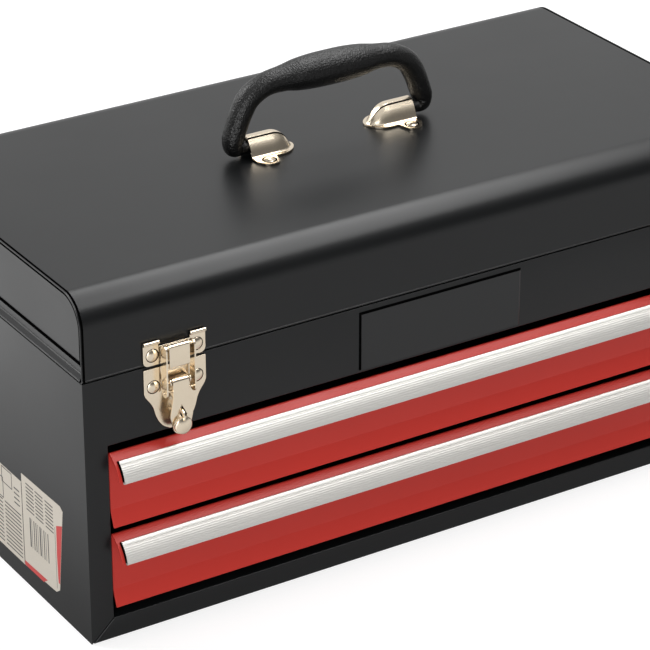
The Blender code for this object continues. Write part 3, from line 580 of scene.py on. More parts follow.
def named(tree, name, kind="FLOAT"):
    """What the seed mesh says under that name at each point."""
    return add(tree, "GeometryNodeInputNamedAttribute", {"Name": name}, data_type=kind).outputs[0]


def softened(tree, shape):
    """The shape with every face shaded smooth."""
    return add(tree, "GeometryNodeSetShadeSmooth", {0: shape, "Shade Smooth": True}).outputs[0]


def section_tree():
    """Nodes that extrude a closed (y, z) section along X, with flutes pressed into part of it."""
    if "Extruded Section" in bpy.data.node_groups:
        return bpy.data.node_groups["Extruded Section"]
    numbers = dict.fromkeys(("Left", "Right", "Flutes", "Flute Depth", "Smooth Below"), "Float")
    tree, given = open_tree("Extruded Section", {"Section": "Geometry", **numbers})
    line = add(tree, "GeometryNodeMeshToCurve", {0: given["Section"]})
    # the flutes are the square of a sine along the part that the attribute flute measures
    turns = calc(tree, "MULTIPLY", named(tree, "flute"), given["Flutes"])
    wave = calc(tree, "POWER", calc(tree, "SINE", calc(tree, "MULTIPLY", turns, math.pi)), 2.0)
    depth = calc(tree, "MULTIPLY", wave, given["Flute Depth"])
    inward = named(tree, "inward", "FLOAT_VECTOR")
    press = add(tree, "ShaderNodeVectorMath", {0: inward, "Scale": depth}, operation="SCALE")
    fluted = add(tree, "GeometryNodeSetPosition", {0: line.outputs[0], "Offset": press.outputs[0]})
    filled = add(tree, "GeometryNodeFillCurve", {0: fluted.outputs[0]}, mode="NGONS")
    span = calc(tree, "SUBTRACT", given["Right"], given["Left"])
    up = add(tree, "ShaderNodeCombineXYZ", {"Z": 1.0})
    push = {0: filled.outputs[0], "Offset": up.outputs[0], "Offset Scale": span, "Individual": False}
    pulled = add(tree, "GeometryNodeExtrudeMesh", push)
    turned = add(tree, "GeometryNodeFlipFaces", {0: filled.outputs[0]})
    both = add(tree, "GeometryNodeJoinGeometry")
    tree.links.new(pulled.outputs[0], both.inputs[0])
    tree.links.new(turned.outputs[0], both.inputs[0])
    closed = add(tree, "GeometryNodeMergeByDistance", {0: both.outputs[0], "Distance": weld / 2})
    # the section was drawn flat: this stands it up across X, with its first end at Left
    start = add(tree, "ShaderNodeCombineXYZ", {"X": given["Left"]})
    quarter = math.pi / 2
    move = {0: closed.outputs[0], "Translation": start.outputs[0], "Rotation": (quarter, 0.0, quarter)}
    placed = add(tree, "GeometryNodeTransform", move)
    bend = add(tree, "GeometryNodeInputMeshEdgeAngle").outputs[0]
    sharp = add(tree, "FunctionNodeCompare", {0: bend, 1: given["Smooth Below"]}, operation="GREATER_THAN")
    crisp = {0: softened(tree, placed.outputs[0]), "Selection": sharp.outputs[0], "Shade Smooth": False}
    edged = add(tree, "GeometryNodeSetShadeSmooth", crisp, domain="EDGE")
    return close_tree(tree, given, edged.outputs[0])


def socket_name(tree, label):
    """The identifier of a tree's input."""
    for item in tree.interface.items_tree:
        if item.item_type == "SOCKET" and item.in_out == "INPUT" and item.name == label:
            return item.identifier
    raise RuntimeError("the tree has no input named " + label)


def grown(name, tree, seed, finish, values):
    """What a geometry nodes tree makes of the seed mesh, as a plain mesh."""
    piece = bpy.data.objects.new(name, seed)
    bpy.context.scene.collection.objects.link(piece)
    step = piece.modifiers.new("Shape", "NODES")
    step.node_group = tree
    step[socket_name(tree, "Finish")] = finishes()[finish]
    for label, value in values.items():
        step[socket_name(tree, label)] = value
    bpy.context.view_layer.update()
    graph = bpy.context.evaluated_depsgraph_get()
    mesh = bpy.data.meshes.new_from_object(piece.evaluated_get(graph), depsgraph=graph)
    piece.modifiers.clear()
    piece.data = mesh
    mesh.name = name
    if not mesh.polygons:
        raise RuntimeError(name + " came out empty")
    return piece


def extruded(name, section, left, right, finish, flutes=None, smooth_below=math.radians(35)):
    """A straight piece of that closed section. flutes is (first point, last point, count, depth)."""
    first, last, count, depth = flutes or (0, 0, 0, 0.0)
    total = len(section)
    nexts = [(i + 1) % total for i in range(total)]
    area = sum(section[i].x * section[j].y - section[j].x * section[i].y for i, j in enumerate(nexts))
    seed = bpy.data.meshes.new(name + "_section")
    seed.from_pydata([(p.x, p.y, 0.0) for p in section], list(enumerate(nexts)), [])
    share = seed.attributes.new("flute", "FLOAT", "POINT")
    inward = seed.attributes.new("inward", "FLOAT_VECTOR", "POINT")
    for i, j in enumerate(nexts):
        way = section[j] - section[i - 1]
        inward.data[i].vector = Vector((-way.y, way.x, 0.0)).normalized() * (1 if area > 0 else -1)
        if first < i < last:
            share.data[i].value = (i - first) / (last - first)
    values = {
        "Left": left,
        "Right": right,
        "Flutes": float(count),
        "Flute Depth": depth,
        "Smooth Below": smooth_below,
    }
    return grown(name, section_tree(), seed, finish, values)


# Painted sheets

# An end panel of the lid, over the lid's lower edge: its ledge, and the lower edge of its strip
ledge_rise = 0.0114
strip_rise = 0.0010
# How far the panel's face lies in from the strip, and how deep its flange and its return reach
face_inset = 0.0030
flange_depth = 0.010
# Down from the ledge, as (inset from the strip, fall): the upper band, a narrow step, the slope of the
# lower band, and the top of the edge along the bottom
strip_section = (
    (0.0027, 0.0014),
    (0.0026, 0.0060),
    (0.0018, 0.0064),
    (0.0004, 0.0093),
    (0.0000, 0.0095),
    (0.0000, 0.0102),
)

# The fold along the top of a drawer's front, and how far the lip bows in
fold_radius = 0.0012
fold_turn = math.radians(125)
lip_bow = 0.0017
# The lip's lower edge: how far it stands out from the case, and how far it lies below the front's top
lip_reach = 0.0118
lip_fall = 0.0150
# How far a drawer's face lies behind the case's front
face_depth = 0.0020
# How far a trim's two sides stand off the middle of the lip's sheet
trim_inner = sheet / 2 + seat_gap
trim_outer = trim_inner + 0.0012


def make_painted_sheets():
    """The folded sheets of the case and the drawers' pans. The base pan has rounder edges."""
    sizes = bpy.context.scene.tool_box_sizes
    for node in ("case_wrap", "base_pan", "back_panel", "tray_floor", "drawer_pan_upper", "drawer_pan_lower"):
        dressed_sheet(node, "black", sizes.sill_radius if node == "base_pan" else sizes.edge_radius)


def joined(pieces):
    """Moves all the pieces' faces into the first one."""
    whole = bmesh.new()
    for piece in pieces:
        whole.from_mesh(piece.data)
    whole.to_mesh(pieces[0].data)
    whole.free()
    for piece in pieces[1:]:
        bpy.data.objects.remove(piece, do_unlink=True)
    return pieces[0]


def lid_line(lid_radius):
    """Middle line of the lid's sheet: hem, small roll, front, top and the same down the back."""
    # the hem turns in over a small roll, clear of the CAD's lower edge
    roll, hem, hem_gap = 0.0005, 0.0030, 0.0003
    # the front is set back a little over the roll
    roll_rise, set_back = 0.0006, 0.00018
    half = lid_high.y - sheet / 2
    top = lid_high.z - sheet / 2
    bottom = lid_low.z + sheet / 2 + hem_gap
    radius = lid_radius - sheet / 2
    front = [Vector((-half + hem, bottom))]
    front += arc((-half + roll, bottom + roll), roll, math.pi * 1.5, math.pi, 6)
    front += [Vector((-half, bottom + roll_rise)), Vector((-half + set_back, bottom + roll_rise + set_back))]
    front += arc((-half + set_back + radius, top - radius), radius, math.pi, math.pi / 2, 28)
    return front + mirrored(front)


def make_lid_shell():
    """The lid's sheet, bent over its front and back edges and rolled in along both lower edges.

    A fine groove runs round each end, where the shell's edge is crimped over the end panel. Its ground is
    painted shade, in matt black.
    """
    sizes = bpy.context.scene.tool_box_sizes
    edge = shell_end - sizes.crimp_width
    inner = edge - sizes.crimp_gap
    thin = sizes.crimp_thickness
    line = lid_line(sizes.lid_radius)
    section = sheet_section(line, sheet)
    rim = sheet_section(side_line(line, (sheet - thin) / 2), thin)
    # the groove's ground lies below both faces of the sheet, and is painted shade in matt black
    groove = sheet_section(line, sheet * 0.7)
    parts = [extruded("lid_shell_bent", section, -inner, inner, "black")]
    parts.append(extruded("crimp_left", rim, -shell_end, -edge, "black"))
    parts.append(extruded("crimp_right", rim, edge, shell_end, "black"))
    for side, left, right in (("left", -edge, -inner), ("right", inner, edge)):
        settle(extruded("lid_groove_" + side, groove, left, right, "shade"), "lid", "shade")
    shell = joined(parts)
    round_edges(shell, sizes.edge_radius, curved_limit)
    settle(shell, "lid", "black", "lid_shell")


def lid_end_skin(way, outline):
    """An end panel as one skin: its flange, its face, and the strip below with its return."""
    face = strip_end - face_inset
    ledge = lid_low.z + ledge_rise
    bottom = lid_low.z + strip_rise
    mesh = bmesh.new()
    rim = [mesh.verts.new((way * face, y, z)) for y, z in outline]
    flange = [mesh.verts.new((way * (face - flange_depth), y, z)) for y, z in outline]
    mesh.faces.new(rim)
    for i in range(len(rim) - 1):
        mesh.faces.new((rim[i], rim[i + 1], flange[i + 1], flange[i]))
    section = [(strip_end - inset, ledge - fall) for inset, fall in strip_section]
    section += [(strip_end - 0.0003, bottom), (strip_end - flange_depth, bottom)]
    ends = [rim[0], rim[-1]]
    for x, z in section:
        # the return is a little shorter than the strip
        tuck = 0.0015 if x < face else 0.0
        row = [mesh.verts.new((way * x, y, z)) for y in (outline[0].x + tuck, outline[-1].x - tuck)]
        mesh.faces.new((ends[0], ends[1], row[1], row[0]))
        ends = row
    bmesh.ops.recalc_face_normals(mesh, faces=mesh.faces)
    mesh.faces.ensure_lookup_table()
    if mesh.faces[0].normal.x * way < 0:
        bmesh.ops.reverse_faces(mesh, faces=mesh.faces)
    return mesh


def paint_lid_end_shade(side, way, outline, seam_width):
    """Painted shade on an end: matt black lines in the seam round its face, at the ledge and at the bottom.
    """
    rim = side_line(outline, seam_width * 0.98)
    ends = sorted((way * (shell_end - 0.0001), way * (shell_end - 0.0030)))
    seam = extruded("lid_end_seam_" + side, outline + rim[::-1], *ends, "shade")
    settle(seam, "lid", "shade")
    face = strip_end - face_inset
    ledge = lid_low.z + ledge_rise
    bottom = lid_low.z + strip_rise
    # inner and outer x, lower and upper z
    lines = (
        (face - 0.0005, face + 0.0004, ledge - 0.0017, ledge + 0.0003),
        (strip_end - 0.0012, strip_end - 0.0004, lid_low.z, bottom + 0.0002),
    )
    mesh = bmesh.new()
    for inner, outer, low, high in lines:
        left, right = sorted((way * inner, way * outer))
        add_box(mesh, (left, outline[0].x, low), (right, outline[-1].x, high))
    settle(new_piece("lid_end_grooves_" + side, mesh, "shade"), "lid", "shade")


def make_lid_ends():
    """The end panels: flanged inside the shell, with a ledge and a creased strip along the bottom."""
    sizes = bpy.context.scene.tool_box_sizes
    inset = sizes.crimp_thickness + sizes.crimp_gap
    half = lid_high.y - inset
    top = lid_high.z - inset
    radius = sizes.lid_radius - inset
    front = [Vector((-half, lid_low.z + ledge_rise))]
    front += arc((-half + radius, top - radius), radius, math.pi, math.pi / 2, 20)
    outline = front + mirrored(front)
    for side, way in sides:
        piece = new_piece("lid_end_panel_" + side, lid_end_skin(way, outline), "black")
        round_edges(piece, sizes.edge_radius, curved_limit)
        # only the small faces of the flange's bend are shaded smooth
        for face in piece.data.polygons:
            face.use_smooth = face.area < 0.00008
        thicken(piece, sheet)
        settle(piece, "lid", "black", "lid_end_" + side)
        # the seam and the lines along the ledge and the bottom are painted shade
        paint_lid_end_shade(side, way, outline, sizes.crimp_gap)


def drawer_lip(drawer, points):
    """Middle line of a drawer's lip from its fold down, the fold's centre, and the front's box."""
    low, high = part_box("drawer_front_" + drawer)
    centre = Vector((case_low.y + face_depth - fold_radius, high.z - sheet / 2 - fold_radius))
    start = arc(centre, fold_radius, 0, fold_turn, 1)[-1]
    end = Vector((case_low.y - lip_reach + sheet / 2, high.z - lip_fall))
    way = end - start
    left = Vector((-way.y, way.x)).normalized()
    line = []
    for i in range(points + 1):
        t = i / points
        line.append(start + way * t - left * lip_bow * 4 * t * (1 - t))
    return line, centre, low, high


def make_drawer_fronts():
    """Each front: a flared foot, an upright face, a fold along the top and the curved lip."""
    sizes = bpy.context.scene.tool_box_sizes
    flare_rise, flare_reach, side_depth = 0.011, 0.0042, 0.009
    for drawer in drawers:
        lip, centre, low, high = drawer_lip(drawer, 16)
        face = centre.x + fold_radius
        crease = Vector((face, low.z + flare_rise))
        foot = Vector((face - flare_reach, low.z))
        fold = arc(centre, fold_radius, 0, fold_turn, 10)
        bend = rounded_corner(foot, crease, fold[0], sizes.crease_radius, 10)
        section = sheet_section([foot] + bend + fold + lip[1:], sheet)
        name = "drawer_front_sheet_" + drawer
        front = extruded(name, section, low.x, high.x, "red", smooth_below=math.radians(50))
        mesh = bmesh.new()
        mesh.from_mesh(front.data)
        for left, right in ((low.x, low.x + sheet), (high.x - sheet, high.x)):
            add_box(mesh, (left, face, crease.y), (right, face + side_depth, fold[0].y))
        mesh.to_mesh(front.data)
        mesh.free()
        round_edges(front, sizes.edge_radius, curved_limit)
        settle(front, drawer + "_drawer", "red", "drawer_front_" + drawer)


def trim_section(line, first, sizes):
    """The closed section of a trim that starts at that point of the lip, and where its flutes lie."""
    steps = len(line) - 1
    total = sum((b - a).length for a, b in zip(line, line[1:]))
    bead = round(sizes.bead_width / (total / steps))
    start = first + bead
    points = []
    for i in range(first, start + 1, 2):
        t = (i - first) / bead
        crown = math.sin(math.pi * t) ** 0.6 if 0 < t < 1 else 0.0
        rise = trim_inner + (trim_outer - trim_inner) * min(1.0, t * 5) + sizes.bead_height * crown
        points.append(beside(line, i, rise))
    # a shallow groove parts the bead from the flutes
    for i in range(1, 7):
        points.append(beside(line, start + i, trim_outer - 0.0001 * math.sin(math.pi * i / 7)))
    flute_first = len(points)
    for i in range(start + 7, round(0.985 * steps) + 1):
        points.append(beside(line, i, trim_outer))
    flute_last = len(points) - 1
    points.append(beside(line, steps, trim_outer))
    # the lower edge hooks round the end of the lip
    down = (line[steps] - line[steps - 1]).normalized()
    out = Vector((down.y, -down.x))
    hook = (
        (0.0012, trim_outer),
        (0.0015, trim_inner),
        (0.0015, -trim_inner),
        (seat_gap, -trim_inner),
        (seat_gap, trim_inner),
    )
    for along, across in hook:
        points.append(line[steps] + down * along + out * across)
    for i in range(steps - 8, first, -16):
        points.append(beside(line, i, trim_inner))
    return points, flute_first, flute_last


def trim_end_shade(line, first):
    """The closed section of painted shade: a matt black plug in the hollow that shows at a trim's ends."""
    steps = len(line) - 1
    picked = range(first, steps + 1, 8)
    swell = []
    for i in picked:
        share = math.sin(math.pi * (i - first) / (steps - first)) ** 0.5
        swell.append(beside(line, i, trim_inner + (trim_outer - trim_inner) * share))
    return swell + [beside(line, i, trim_inner - 0.0001) for i in reversed(picked)]


def make_drawer_trims():
    """The extruded strips: a bead along the top, then flutes, and an edge that hooks under the lip."""
    sizes = bpy.context.scene.tool_box_sizes
    steps, flute_count, end_shade_depth = 320, 7, 0.0009
    # the trim covers the lip but for its first part, below the fold
    first = round(0.30 * steps)
    for drawer in drawers:
        body = drawer + "_drawer"
        line = drawer_lip(drawer, steps)[0]
        low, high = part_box("drawer_trim_" + drawer)
        left, right = low.x + end_shade_depth, high.x - end_shade_depth
        section, flute_first, flute_last = trim_section(line, first, sizes)
        flutes = (flute_first, flute_last, flute_count, sizes.flute_depth)
        trim = extruded("fluted_trim_" + drawer, section, left, right, "aluminium", flutes, math.radians(40))
        settle(trim, body, "aluminium", "drawer_trim_" + drawer)
        # painted shade: a matt black plug fills each end, where the trim's hollow lies in shade
        end_shade_section = trim_end_shade(line, first)
        for side, start in (("left", low.x), ("right", right)):
            name = "trim_hollow_%s_%s" % (drawer, side)
            settle(extruded(name, end_shade_section, start, start + end_shade_depth, "shade"), body, "shade")


# Fittings

# From the elbow to the middle of the handle: x as a share of the half span, height as a share of the
# rise, and radius as a share of the grip's
handle_shares = (
    (1.000, 0.163, 0.622),
    (0.965, 0.331, 0.634),
    (0.914, 0.559, 0.645),
    (0.829, 0.796, 0.660),
    (0.667, 0.954, 0.672),
    (0.483, 0.993, 0.741),
    (0.338, 0.998, 0.897),
    (0.166, 1.000, 0.983),
    (0.000, 1.000, 1.000),
)

# A bracket from its open outer end to its tip: how far along, and the dome's height and width there
dome_shares = (
    (0.00, 1.00, 1.00),
    (0.46, 1.00, 1.00),
    (0.58, 0.98, 0.98),
    (0.68, 0.90, 0.92),
    (0.76, 0.76, 0.83),
    (0.83, 0.56, 0.70),
    (0.89, 0.33, 0.52),
    (0.94, 0.13, 0.34),
    (0.98, 0.00, 0.20),
    (1.00, 0.00, 0.12),
)
# Across the dome from its ridge to the flange, as shares of its half width and of its rise
flank_shares = (
    (0.0, 1.0),
    (0.20, 0.998),
    (0.325, 0.984),
    (0.336, 0.93),
    (0.352, 0.912),
    (0.60, 0.715),
    (0.788, 0.512),
    (0.938, 0.30),
    (1.05, 0.106),
    (1.11, 0.024),
    (1.175, 0.004),
    (1.275, 0.0),
)
# The upper and the lower side of the painted shade line along the crease on a flank, in the same shares
crease_shade_shares = ((0.332, 0.965), (0.385, 0.892))
# Where a bracket starts and ends in x, half the width of its flange, and the length of its rounded nose
bracket_outer = 0.0630
bracket_tip = 0.0280
flange_half = 0.0117
nose_length = 0.0145
# The dome's half width and height, and the place and radius of the ears
dome_half = 0.0080
dome_height = 0.0134
ear_x = 0.0545
ear_y = 0.0152
ear_radius = 0.0075


def make_slides_and_hinge():
    """The drawers' channels and rails, and the hinge's leaves and pin."""
    sizes = bpy.context.scene.tool_box_sizes
    for node in frame["nodes"]:
        if node.startswith(("drawer_channel", "drawer_rail")):
            dressed(node, "zinc", sizes.edge_radius)
        if node.startswith("hinge_"):
            dressed(node, "zinc", sizes.edge_radius, curved_limit)


def handle_tree():
    """Nodes that sweep a round section along a line, with the line's own radius at each point."""
    tree, given = open_tree("Moulded Handle", {"Line": "Geometry", "Sides": "Int"})
    line = add(tree, "GeometryNodeMeshToCurve", {0: given["Line"]})
    reach = named(tree, "reach")
    sized = add(tree, "GeometryNodeSetCurveRadius", {0: line.outputs[0], "Radius": reach})
    ring = add(tree, "GeometryNodeCurvePrimitiveCircle", {"Resolution": given["Sides"], "Radius": 1.0})
    sweep = {"Curve": sized.outputs[0], "Profile Curve": ring.outputs[0], "Fill Caps": True}
    swept = add(tree, "GeometryNodeCurveToMesh", sweep)
    # a sweep that has an input for its scale doesn't read the line's radius
    if "Scale" in swept.inputs:
        tree.links.new(reach, swept.inputs["Scale"])
    return close_tree(tree, given, softened(tree, swept.outputs[0]))


def make_carry_handle():
    """The moulded handle: thick in the middle, with feet that turn in to the brackets."""
    half_span, rise, elbow = 0.0726, 0.0417, 0.0052
    grip_radius, stub_radius, leg_radius, heel = 0.0116, 0.0047, 0.0069, 0.0008
    pivot = lid_high.z + 0.0064
    right = [(x, pivot, stub_radius) for x in (0.0480, 0.0550, 0.0630)]
    for i in range(13):
        turn = math.pi / 2 * i / 12
        x = half_span - elbow + elbow * math.sin(turn)
        reach = stub_radius + (leg_radius - stub_radius) * i / 12 + heel * math.sin(2 * turn) ** 2
        right.append((x, pivot + elbow - elbow * math.cos(turn), reach))
    shape = [(half_span * x, pivot + rise * z, grip_radius * r) for x, z, r in handle_shares]
    right += [tuple(row) for row in smooth_through(shape, 8)][1:]
    whole = right + [(-x, z, r) for x, z, r in reversed(right[:-1])]
    line = bpy.data.meshes.new("carry_handle_line")
    steps = [(i, i + 1) for i in range(len(whole) - 1)]
    line.from_pydata([(x, 0.0, z) for x, z, _ in whole], steps, [])
    reaches = line.attributes.new("reach", "FLOAT", "POINT")
    for i, row in enumerate(whole):
        reaches.data[i].value = row[2]
    piece = grown("carry_handle_grip", handle_tree(), line, "plastic", {"Sides": 48})
    settle(piece, "handle", "plastic", "carry_handle")


def bracket_reach(x):
    """Half the width of a bracket at x: the rounded nose, the straight flange, then the ears."""
    nose_end = bracket_tip + nose_length
    if x > ear_x - ear_radius:
        bow = math.sqrt(max(ear_radius**2 - (x - ear_x) ** 2, 0.0))
        return max(flange_half, ear_y + bow * 0.999)
    if x < nose_end:
        return flange_half * max(1 - ((nose_end - x) / nose_length) ** 2, 0.0) ** 0.6 + 0.0002
    return flange_half


def face_up(mesh):
    """Turns the faces of an open skin so that they look up."""
    bmesh.ops.recalc_face_normals(mesh, faces=mesh.faces)
    mesh.faces.ensure_lookup_table()
    if sum(face.normal.z for face in mesh.faces) < 0:
        bmesh.ops.reverse_faces(mesh, faces=mesh.faces)


def bracket_skin(way):
    """A bracket as one skin, and the pairs of points between which a painted shade line runs along the crease
    on each flank.
    """
    foot = lid_high.z + seat_gap + bracket_sheet
    mesh = bmesh.new()
    rings = []
    crease_shades = {-1: [], 1: []}
    for place, height, width in smooth_through(dome_shares, 5):
        x = bracket_outer - (bracket_outer - bracket_tip) * place
        reach = bracket_reach(x)
        half = min(dome_half * width, reach * 0.8)
        rise = max(dome_height * height - bracket_sheet, 0.0)
        near = [(half * a, rise * b) for a, b in flank_shares]
        edge = max(reach, near[-1][0] + 0.0001)
        near += [((near[-1][0] + edge) / 2, 0.0), (edge, 0.0)]
        ring = [(-y, z) for y, z in reversed(near[1:])] + near
        rings.append([mesh.verts.new((way * x, y, foot + z)) for y, z in ring])
        for across, pairs in crease_shades.items():
            pairs.append([(way * x, across * half * a, foot + rise * b + 0.00006) for a, b in crease_shade_shares])
    for first, second in zip(rings, rings[1:]):
        for corners in zip(first, first[1:], second[1:], second):
            mesh.faces.new(corners)
    face_up(mesh)
    return mesh, crease_shades


def make_handle_brackets():
    """Pressed brackets: one skin that runs from the flange and its ears up over the dome."""
    edge_radius = 0.0003
    # the painted shade lines along the creases end before the dome's last rings, towards the tip
    plain_rings = 12
    for side, way in sides:
        skin, crease_shades = bracket_skin(way)
        piece = new_piece("pressed_bracket_" + side, skin, "nickel")
        thicken(piece, bracket_sheet)
        round_edges(piece, edge_radius, math.radians(50))
        settle(piece, "lid", "nickel", "handle_bracket_" + side)
        # a matt black ribbon along each flank's crease is painted shade
        mesh = bmesh.new()
        for crease in crease_shades.values():
            pairs = [[mesh.verts.new(point) for point in pair] for pair in crease[:-plain_rings]]
            for first, second in zip(pairs, pairs[1:]):
                mesh.faces.new((first[0], first[1], second[1], second[0]))
        face_up(mesh)
        settle(new_piece("bracket_crease_" + side, mesh, "shade"), "lid", "shade")


def make_latches():
    """Both draw latches: catch plates, base plates, levers, bails and their pins."""
    sizes = bpy.context.scene.tool_box_sizes
    for side, _ in sides:
        for node in ("latch_catch_", "latch_base_", "latch_lever_", "latch_bail_"):
            dressed(node + side, "nickel", sizes.fitting_radius)
        for node in ("lever_pin_", "bail_pin_"):
            dressed(node + side, "nickel", sizes.fitting_radius, curved_limit)


def rivet_tree():
    """Nodes that put a set rivet head on every point, turned to the way the point faces."""
    if "Rivet Heads" in bpy.data.node_groups:
        return bpy.data.node_groups["Rivet Heads"]
    inputs = {"Places": "Geometry", "Head Radius": "Float", "Head Rise": "Float"}
    tree, given = open_tree("Rivet Heads", inputs)
    size = {"Vertices": 28, "Side Segments": 1, "Fill Segments": 9, "Radius": 1.0, "Depth": 0.1}
    disc = add(tree, "GeometryNodeMeshCylinder", size)
    place = add(tree, "GeometryNodeInputPosition").outputs[0]
    parts = add(tree, "ShaderNodeSeparateXYZ", {0: place}).outputs
    flat = add(tree, "ShaderNodeCombineXYZ", {"X": parts[0], "Y": parts[1]})
    radius = add(tree, "ShaderNodeVectorMath", {0: flat.outputs[0]}, operation="LENGTH").outputs["Value"]
    upper = add(tree, "FunctionNodeCompare", {0: parts[2], 1: 0.0}, operation="GREATER_THAN")
    # the disc's upper side rises by one minus the square of the radius
    cap = calc(tree, "SUBTRACT", 1.0, calc(tree, "POWER", radius, 2.0))
    lift = add(tree, "ShaderNodeCombineXYZ", {"Z": cap})
    domed = {0: disc.outputs["Mesh"], "Selection": upper.outputs[0], "Offset": lift.outputs[0]}
    head = add(tree, "GeometryNodeSetPosition", domed)
    facing = named(tree, "facing", "FLOAT_VECTOR")
    turn = add(tree, "FunctionNodeAlignRotationToVector", {"Vector": facing}, axis="Z")
    wide, high = given["Head Radius"], given["Head Rise"]
    scale = add(tree, "ShaderNodeCombineXYZ", {"X": wide, "Y": wide, "Z": high})
    spread = {
        "Points": given["Places"],
        "Instance": softened(tree, head.outputs[0]),
        "Rotation": turn.outputs[0],
        "Scale": scale.outputs[0],
    }
    heads = add(tree, "GeometryNodeInstanceOnPoints", spread)
    return close_tree(tree, given, heads.outputs[0])


def rivets(name, body, finish, radius, places, facing, rise=None):
    """A row of domed rivet heads on one body. Their rise follows their radius unless it is given."""
    sizes = bpy.context.scene.tool_box_sizes
    seed = bpy.data.meshes.new(name + "_places")
    seed.from_pydata(places, [], [])
    ways = seed.attributes.new("facing", "FLOAT_VECTOR", "POINT")
    for i in range(len(places)):
        ways.data[i].vector = facing
    rise = rise or sizes.rivet_rise * radius / sizes.rivet_radius
    values = {"Head Radius": radius, "Head Rise": rise}
    settle(grown(name, rivet_tree(), seed, finish, values), body, finish)


def rivet_latches(sizes):
    """The latches' rivets on rings of painted shade, the stamped round at each lever's tip, and painted shade
    in the slots.
    """
    forward = (0, -1, 0)
    front = case_low.y - seat_gap - sheet
    shade_ring_radius = sizes.rivet_radius * 1.1
    low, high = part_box("latch_catch_left")
    middle = abs((low.x + high.x) / 2)
    # body, half the distance between a plate's two rivets, and their height
    for body, half, z in (("lid", 0.0152, 0.1880), ("case", 0.0150, 0.1668)):
        row = [(way * (middle + turn * half), front, z) for way in (-1, 1) for turn in (-1, 1)]
        rivets("latch_rivets_" + body, body, "nickel", sizes.rivet_radius, row, forward)
        # a matt black disc under each head is painted shade, a dark ring round the rivet
        rivets("latch_seats_" + body, body, "shade", shade_ring_radius, row, forward, shade_rise)
    tip_radius, tip_rise, tip_height = 0.0058, 0.0014, 0.0066
    for side, way in sides:
        low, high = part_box("latch_lever_" + side)
        tip = [((low.x + high.x) / 2, low.y, low.z + tip_height)]
        rivets("lever_tip_" + side, "lever_" + side, "nickel", tip_radius, tip, forward, tip_rise)
        # painted shade: a matt black patch for the slot in the base plate
        slot = way * 0.1925
        mesh = bmesh.new()
        add_box(mesh, (slot + 0.0022, front - 0.0006, 0.1370), (slot + 0.0075, front - 0.0002, 0.1480))
        settle(new_piece("slot_backing_" + side, mesh, "shade"), "case", "shade")


def make_rivets():
    """All the rivets: the latches' with their small parts, the brackets' and the hinge's."""
    sizes = bpy.context.scene.tool_box_sizes
    rivet_latches(sizes)
    upward = (0, 0, 1)
    rivet_y = 0.0158
    shade_ring_radius = sizes.bracket_rivet_radius * 1.25
    top = lid_high.z + seat_gap + bracket_sheet
    ears = [(way * ear_x, turn * rivet_y, top) for way in (-1, 1) for turn in (-1, 1)]
    rivets("bracket_rivets", "lid", "nickel", sizes.bracket_rivet_radius, ears, upward)
    # painted shade: a matt black disc under each bracket rivet shows as a dark ring
    rivets("bracket_seats", "lid", "shade", shade_ring_radius, ears, upward, shade_rise)
    count, edge = 8, 0.0055
    low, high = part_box("hinge_leaf_case")
    rear = case_high.y + seat_gap + leaf_sheet
    places = [low.x + (high.x - low.x) * (i + 0.5) / count for i in range(count)]
    lower = [(x, rear, low.z + edge) for x in places]
    upper = [(x, rear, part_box("hinge_leaf_lid")[1].z - edge) for x in places]
    rivets("hinge_rivets_case", "case", "zinc", sizes.hinge_rivet_radius, lower, (0, 1, 0))
    rivets("hinge_rivets_lid", "lid", "zinc", sizes.hinge_rivet_radius, upper, (0, 1, 0))


def add_prism(mesh, first, second):
    """Adds a closed prism between two like outlines."""
    start = [mesh.verts.new(point) for point in first]
    stop = [mesh.verts.new(point) for point in second]
    mesh.faces.new(start)
    mesh.faces.new(stop)
    for i in range(len(start)):
        j = (i + 1) % len(start)
        mesh.faces.new((start[i], start[j], stop[j], stop[i]))


def make_name_plate():
    """The bare plate. A matt black sheet behind it is painted shade, a dark line along the left and the top.
    """
    sizes = bpy.context.scene.tool_box_sizes
    rear = case_low.y - 0.0001
    front = rear - sizes.plate_thickness
    # the plate sits a little to the right of the middle, and its right edge is the only sloping one
    shift, low = 0.0010, 0.1370
    slope = sizes.plate_thickness * 1.6
    left, right = shift - sizes.plate_width / 2, shift + sizes.plate_width / 2
    high = low + sizes.plate_height
    line_left, line_top = 0.0014, 0.0016
    seat = rear - shade_rise
    shade_sheet = bmesh.new()
    add_box(shade_sheet, (left - line_left, seat, low), (right, rear, high + line_top))
    settle(new_piece("name_plate_backing", shade_sheet, "shade"), "case", "shade")
    mesh = bmesh.new()
    outline = [(left, seat), (right, seat), (right - slope, front), (left, front)]
    add_prism(mesh, [(x, y, low) for x, y in outline], [(x, y, high) for x, y in outline])
    bmesh.ops.recalc_face_normals(mesh, faces=mesh.faces)
    settle(new_piece("name_plate_bare", mesh, "plate"), "case", "plate")


# Side label, with its outlines as (y, z) on the case's left side

front_paper = [
    (-0.0444, 0.0796),
    (-0.0964, 0.0808),
    (-0.0999, 0.0784),
    (-0.0918, 0.0182),
    (-0.0870, 0.0148),
    (-0.0444, 0.0128),
]
rear_paper = [
    (-0.0440, 0.0730),
    (0.0580, 0.0730),
    (0.0600, 0.0710),
    (0.0600, 0.0150),
    (0.0580, 0.0128),
    (-0.0440, 0.0128),
]
edge_band = [
    (-0.0904, 0.0640),
    (-0.0983, 0.0675),
    (-0.0923, 0.0230),
    (-0.0905, 0.0230),
    (-0.0898, 0.0440),
    (-0.0900, 0.0467),
]
foot_band = [(-0.0444, 0.0162), (-0.0754, 0.0171), (-0.0697, 0.0132), (-0.0444, 0.0130)]
head_band = [(-0.0120, 0.0728), (-0.0090, 0.0690), (0.0570, 0.0690), (0.0570, 0.0728)]


